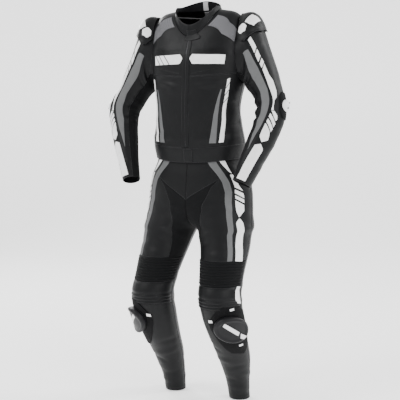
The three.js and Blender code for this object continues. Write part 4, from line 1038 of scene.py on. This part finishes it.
def centre_pieces():
    both = folded(torso, TORSO_FOLDS, 2.6, 1, 3.0)

    def zip_map(s, row):
        at = np.interp(row, np.arange(17), CENTRE_ROWS)
        return angle_at(torso, at, ZIP_HALF_WIDTH) * (2 * s - 1), at
    sheet_piece("zip_shell", 1, torso, spread(torso, zip_map, rows=(1, NECK_ROW)), ZIP_TAPE, "zip_tape", "zip")
    sheet_piece("back_panel_shell", 1, both, spread(torso, back_map, rows=(1, YOKE_ROW)), BLACK, "black_leather",
                "back_panel")
    sheet_piece("back_yoke_shell", 1, both, spread(torso, back_map, rows=(YOKE_ROW, NECK_ROW)), BLACK,
                "black_leather", "back_yoke")

    def round_map(s, at):
        return 360 * s, at
    sheet_piece("waistband_shell", 1, torso, spread(torso, round_map, rows=(896.0, 947.0)), BLACK,
                "black_leather", "waistband", thick=BAND_WALL)
    sheet_piece("collar_shell", 1, collar, spread(collar, round_map, rows=(0.0, 2.0)), BLACK, "black_leather",
                "collar", thick=BAND_WALL)

    def facing_map(s, at):
        return 25 + 310 * s, at
    sheet_piece("neck_facing_shell", 1, collar, spread(collar, facing_map, rows=(0.0, 2.0)), MESH_CLOTH,
                "mesh_cloth", "neck_facing", thick=FACING_WALL, lift=FACING_LIFT)
    stitches("back_panel_shell", 1, ("left", "right", "high"))
    stitches("back_yoke_shell", 1, ("left", "right", "low"))
    stitches("waistband_shell", 1, ("low", "high"))
    stitches("collar_shell", 1, ("low", "high"))
    teeth = np.arange(*TEETH_SPAN, TEETH_STEP)
    for turn, shift, label in ((0.35, 0, "teeth_a"), (-0.35, TEETH_STEP / 2, "teeth_b")):
        angle = np.full(teeth.shape, turn)
        lead = normals(torso, angle, teeth + shift)
        repeated("zip_" + label, torso(angle, teeth + shift) + lead * 0.5, lead,
                 np.tile([1.0, 0, 0], (len(teeth), 1)), TOOTH, METAL)
    for low, high, label in ((-4.6, -0.25, "flap_right"), (0.25, 4.6, "flap_left")):
        strip("zip_" + label, 1, torso, ((949, 949, low, high), (1200, 1200, low * 0.95, high * 0.95),
                                         (1390, 1390, low * 1.1, high * 1.1)), BLACK, "zip_tape", "zip",
              lift=1.6, thick=1.5, roll=0.5)
    strip("waistband_flap", 1, torso, ((900, 900, -3, 8.5), (943, 943, -3, 8.5)), BLACK, "black_leather",
          "waistband", lift=2.2, thick=1.6, roll=0.6)
    stitches("waistband_flap", 1, ("left", "right", "low", "high"), 1)
    neck_tab()
    for side in (1, -1):
        strip(side_name("chest_welt", side), side, torso, ((1194, 1219, 7, 46), (1198, 1223, 7, 46)), BLACK,
              "black_leather", side_name("front_upper", side), lift=1.3, thick=1.5, roll=0.8)
    strip("facing_piping", 1, torso, ((1368, 1384, 120, 240), (1370.5, 1386.5, 120, 240)), SILVER, "mesh_cloth",
          "neck_facing", lift=FACING_LIFT, thick=1.5, roll=0.5)
    strip("hanger_loop_end", 1, torso, ((1352, 1352, 174, 186), (1402, 1402, 174, 186)), SILVER, "grey_leather",
          "hanger_loop", lift=LOOP_LIFT, thick=FACING_WALL)
    strip("hanger_loop_cut", 1, collar, ((0.03, 0.03, 173, 187), (1.85, 1.85, 173, 187)), SILVER, "grey_leather",
          "hanger_loop", lift=LOOP_LIFT, thick=FACING_WALL)


centre_pieces()


# Floor, camera and lights
def lamp(name, place, aim, size, power):
    light = bpy.data.lights.new(name, "AREA")
    light.shape = "DISK"
    light.size = size
    light.energy = power
    thing = bpy.data.objects.new(name, light)
    thing.location = place
    thing.rotation_euler = (Vector(aim) - Vector(place)).to_track_quat("-Z", "Y").to_euler()
    bpy.context.scene.collection.objects.link(thing)


floor_mesh = bpy.data.meshes.new("floor")
reach, turn_radius, wall_height, back_distance = 9.0, 1.2, 7.0, 3.2
steps = np.linspace(0, math.pi / 2, 17)
profile = [(-reach, 0.0)] + [(back_distance + turn_radius * math.sin(a), turn_radius * (1 - math.cos(a)))
                             for a in steps] + [(back_distance + turn_radius, wall_height)]
view_turn = math.radians(25)
across = Vector((math.cos(view_turn), math.sin(view_turn), 0))
away = Vector((-math.sin(view_turn), math.cos(view_turn), 0))
floor_z = -ORIGIN_HEIGHT / 1000 + 0.006
corners, faces = [], []
for distance, height in profile:
    for offset in (-reach, reach):
        corners.append(across * offset + away * distance + Vector((0, 0, floor_z + height)))
for k in range(len(profile) - 1):
    faces.append((2 * k, 2 * k + 1, 2 * k + 3, 2 * k + 2))
floor_mesh.from_pydata([tuple(corner) for corner in corners], [], faces)
floor_mesh.polygons.foreach_set("use_smooth", np.ones(len(faces), bool))
floor = bpy.data.objects.new("floor", floor_mesh)
bpy.context.scene.collection.objects.link(floor)
floor_material, _, floor_shader = new_material("floor_look", (0.93, 0.93, 0.93), 0.95)
floor_shader.inputs["Emission Color"].default_value = (1.0, 1.0, 1.0, 1.0)
floor_shader.inputs["Emission Strength"].default_value = 0.6
floor_mesh.materials.append(floor_material)

camera_data = bpy.data.cameras.new("camera")
camera_data.lens = 82.0
camera_data.clip_end = 40.0
camera = bpy.data.objects.new("camera", camera_data)
bpy.context.scene.collection.objects.link(camera)
view_distance = 3.3
camera.location = (math.sin(view_turn) * view_distance, -math.cos(view_turn) * view_distance, -0.285)
target = Vector((-0.003, -0.004, -0.605))
camera.rotation_euler = (target - camera.location).to_track_quat("-Z", "Y").to_euler()
bpy.context.scene.camera = camera

world = bpy.data.worlds.new("studio")
world.use_nodes = True
world.node_tree.nodes["Background"].inputs["Color"].default_value = (1.0, 1.0, 1.0, 1.0)
world.node_tree.nodes["Background"].inputs["Strength"].default_value = 1.15
bpy.context.scene.world = world
lamp("key", (-2.2, -2.6, 2.2), (0, 0, -0.5), 1.6, 110)
lamp("fill", (3.0, -1.6, 1.0), (0, 0, -0.5), 2.0, 60)
lamp("rim_left", (-2.4, 1.6, 1.0), (0, 0, -0.4), 1.2, 70)
lamp("rim_right", (2.6, 1.6, 1.4), (0, 0, -0.4), 1.2, 70)
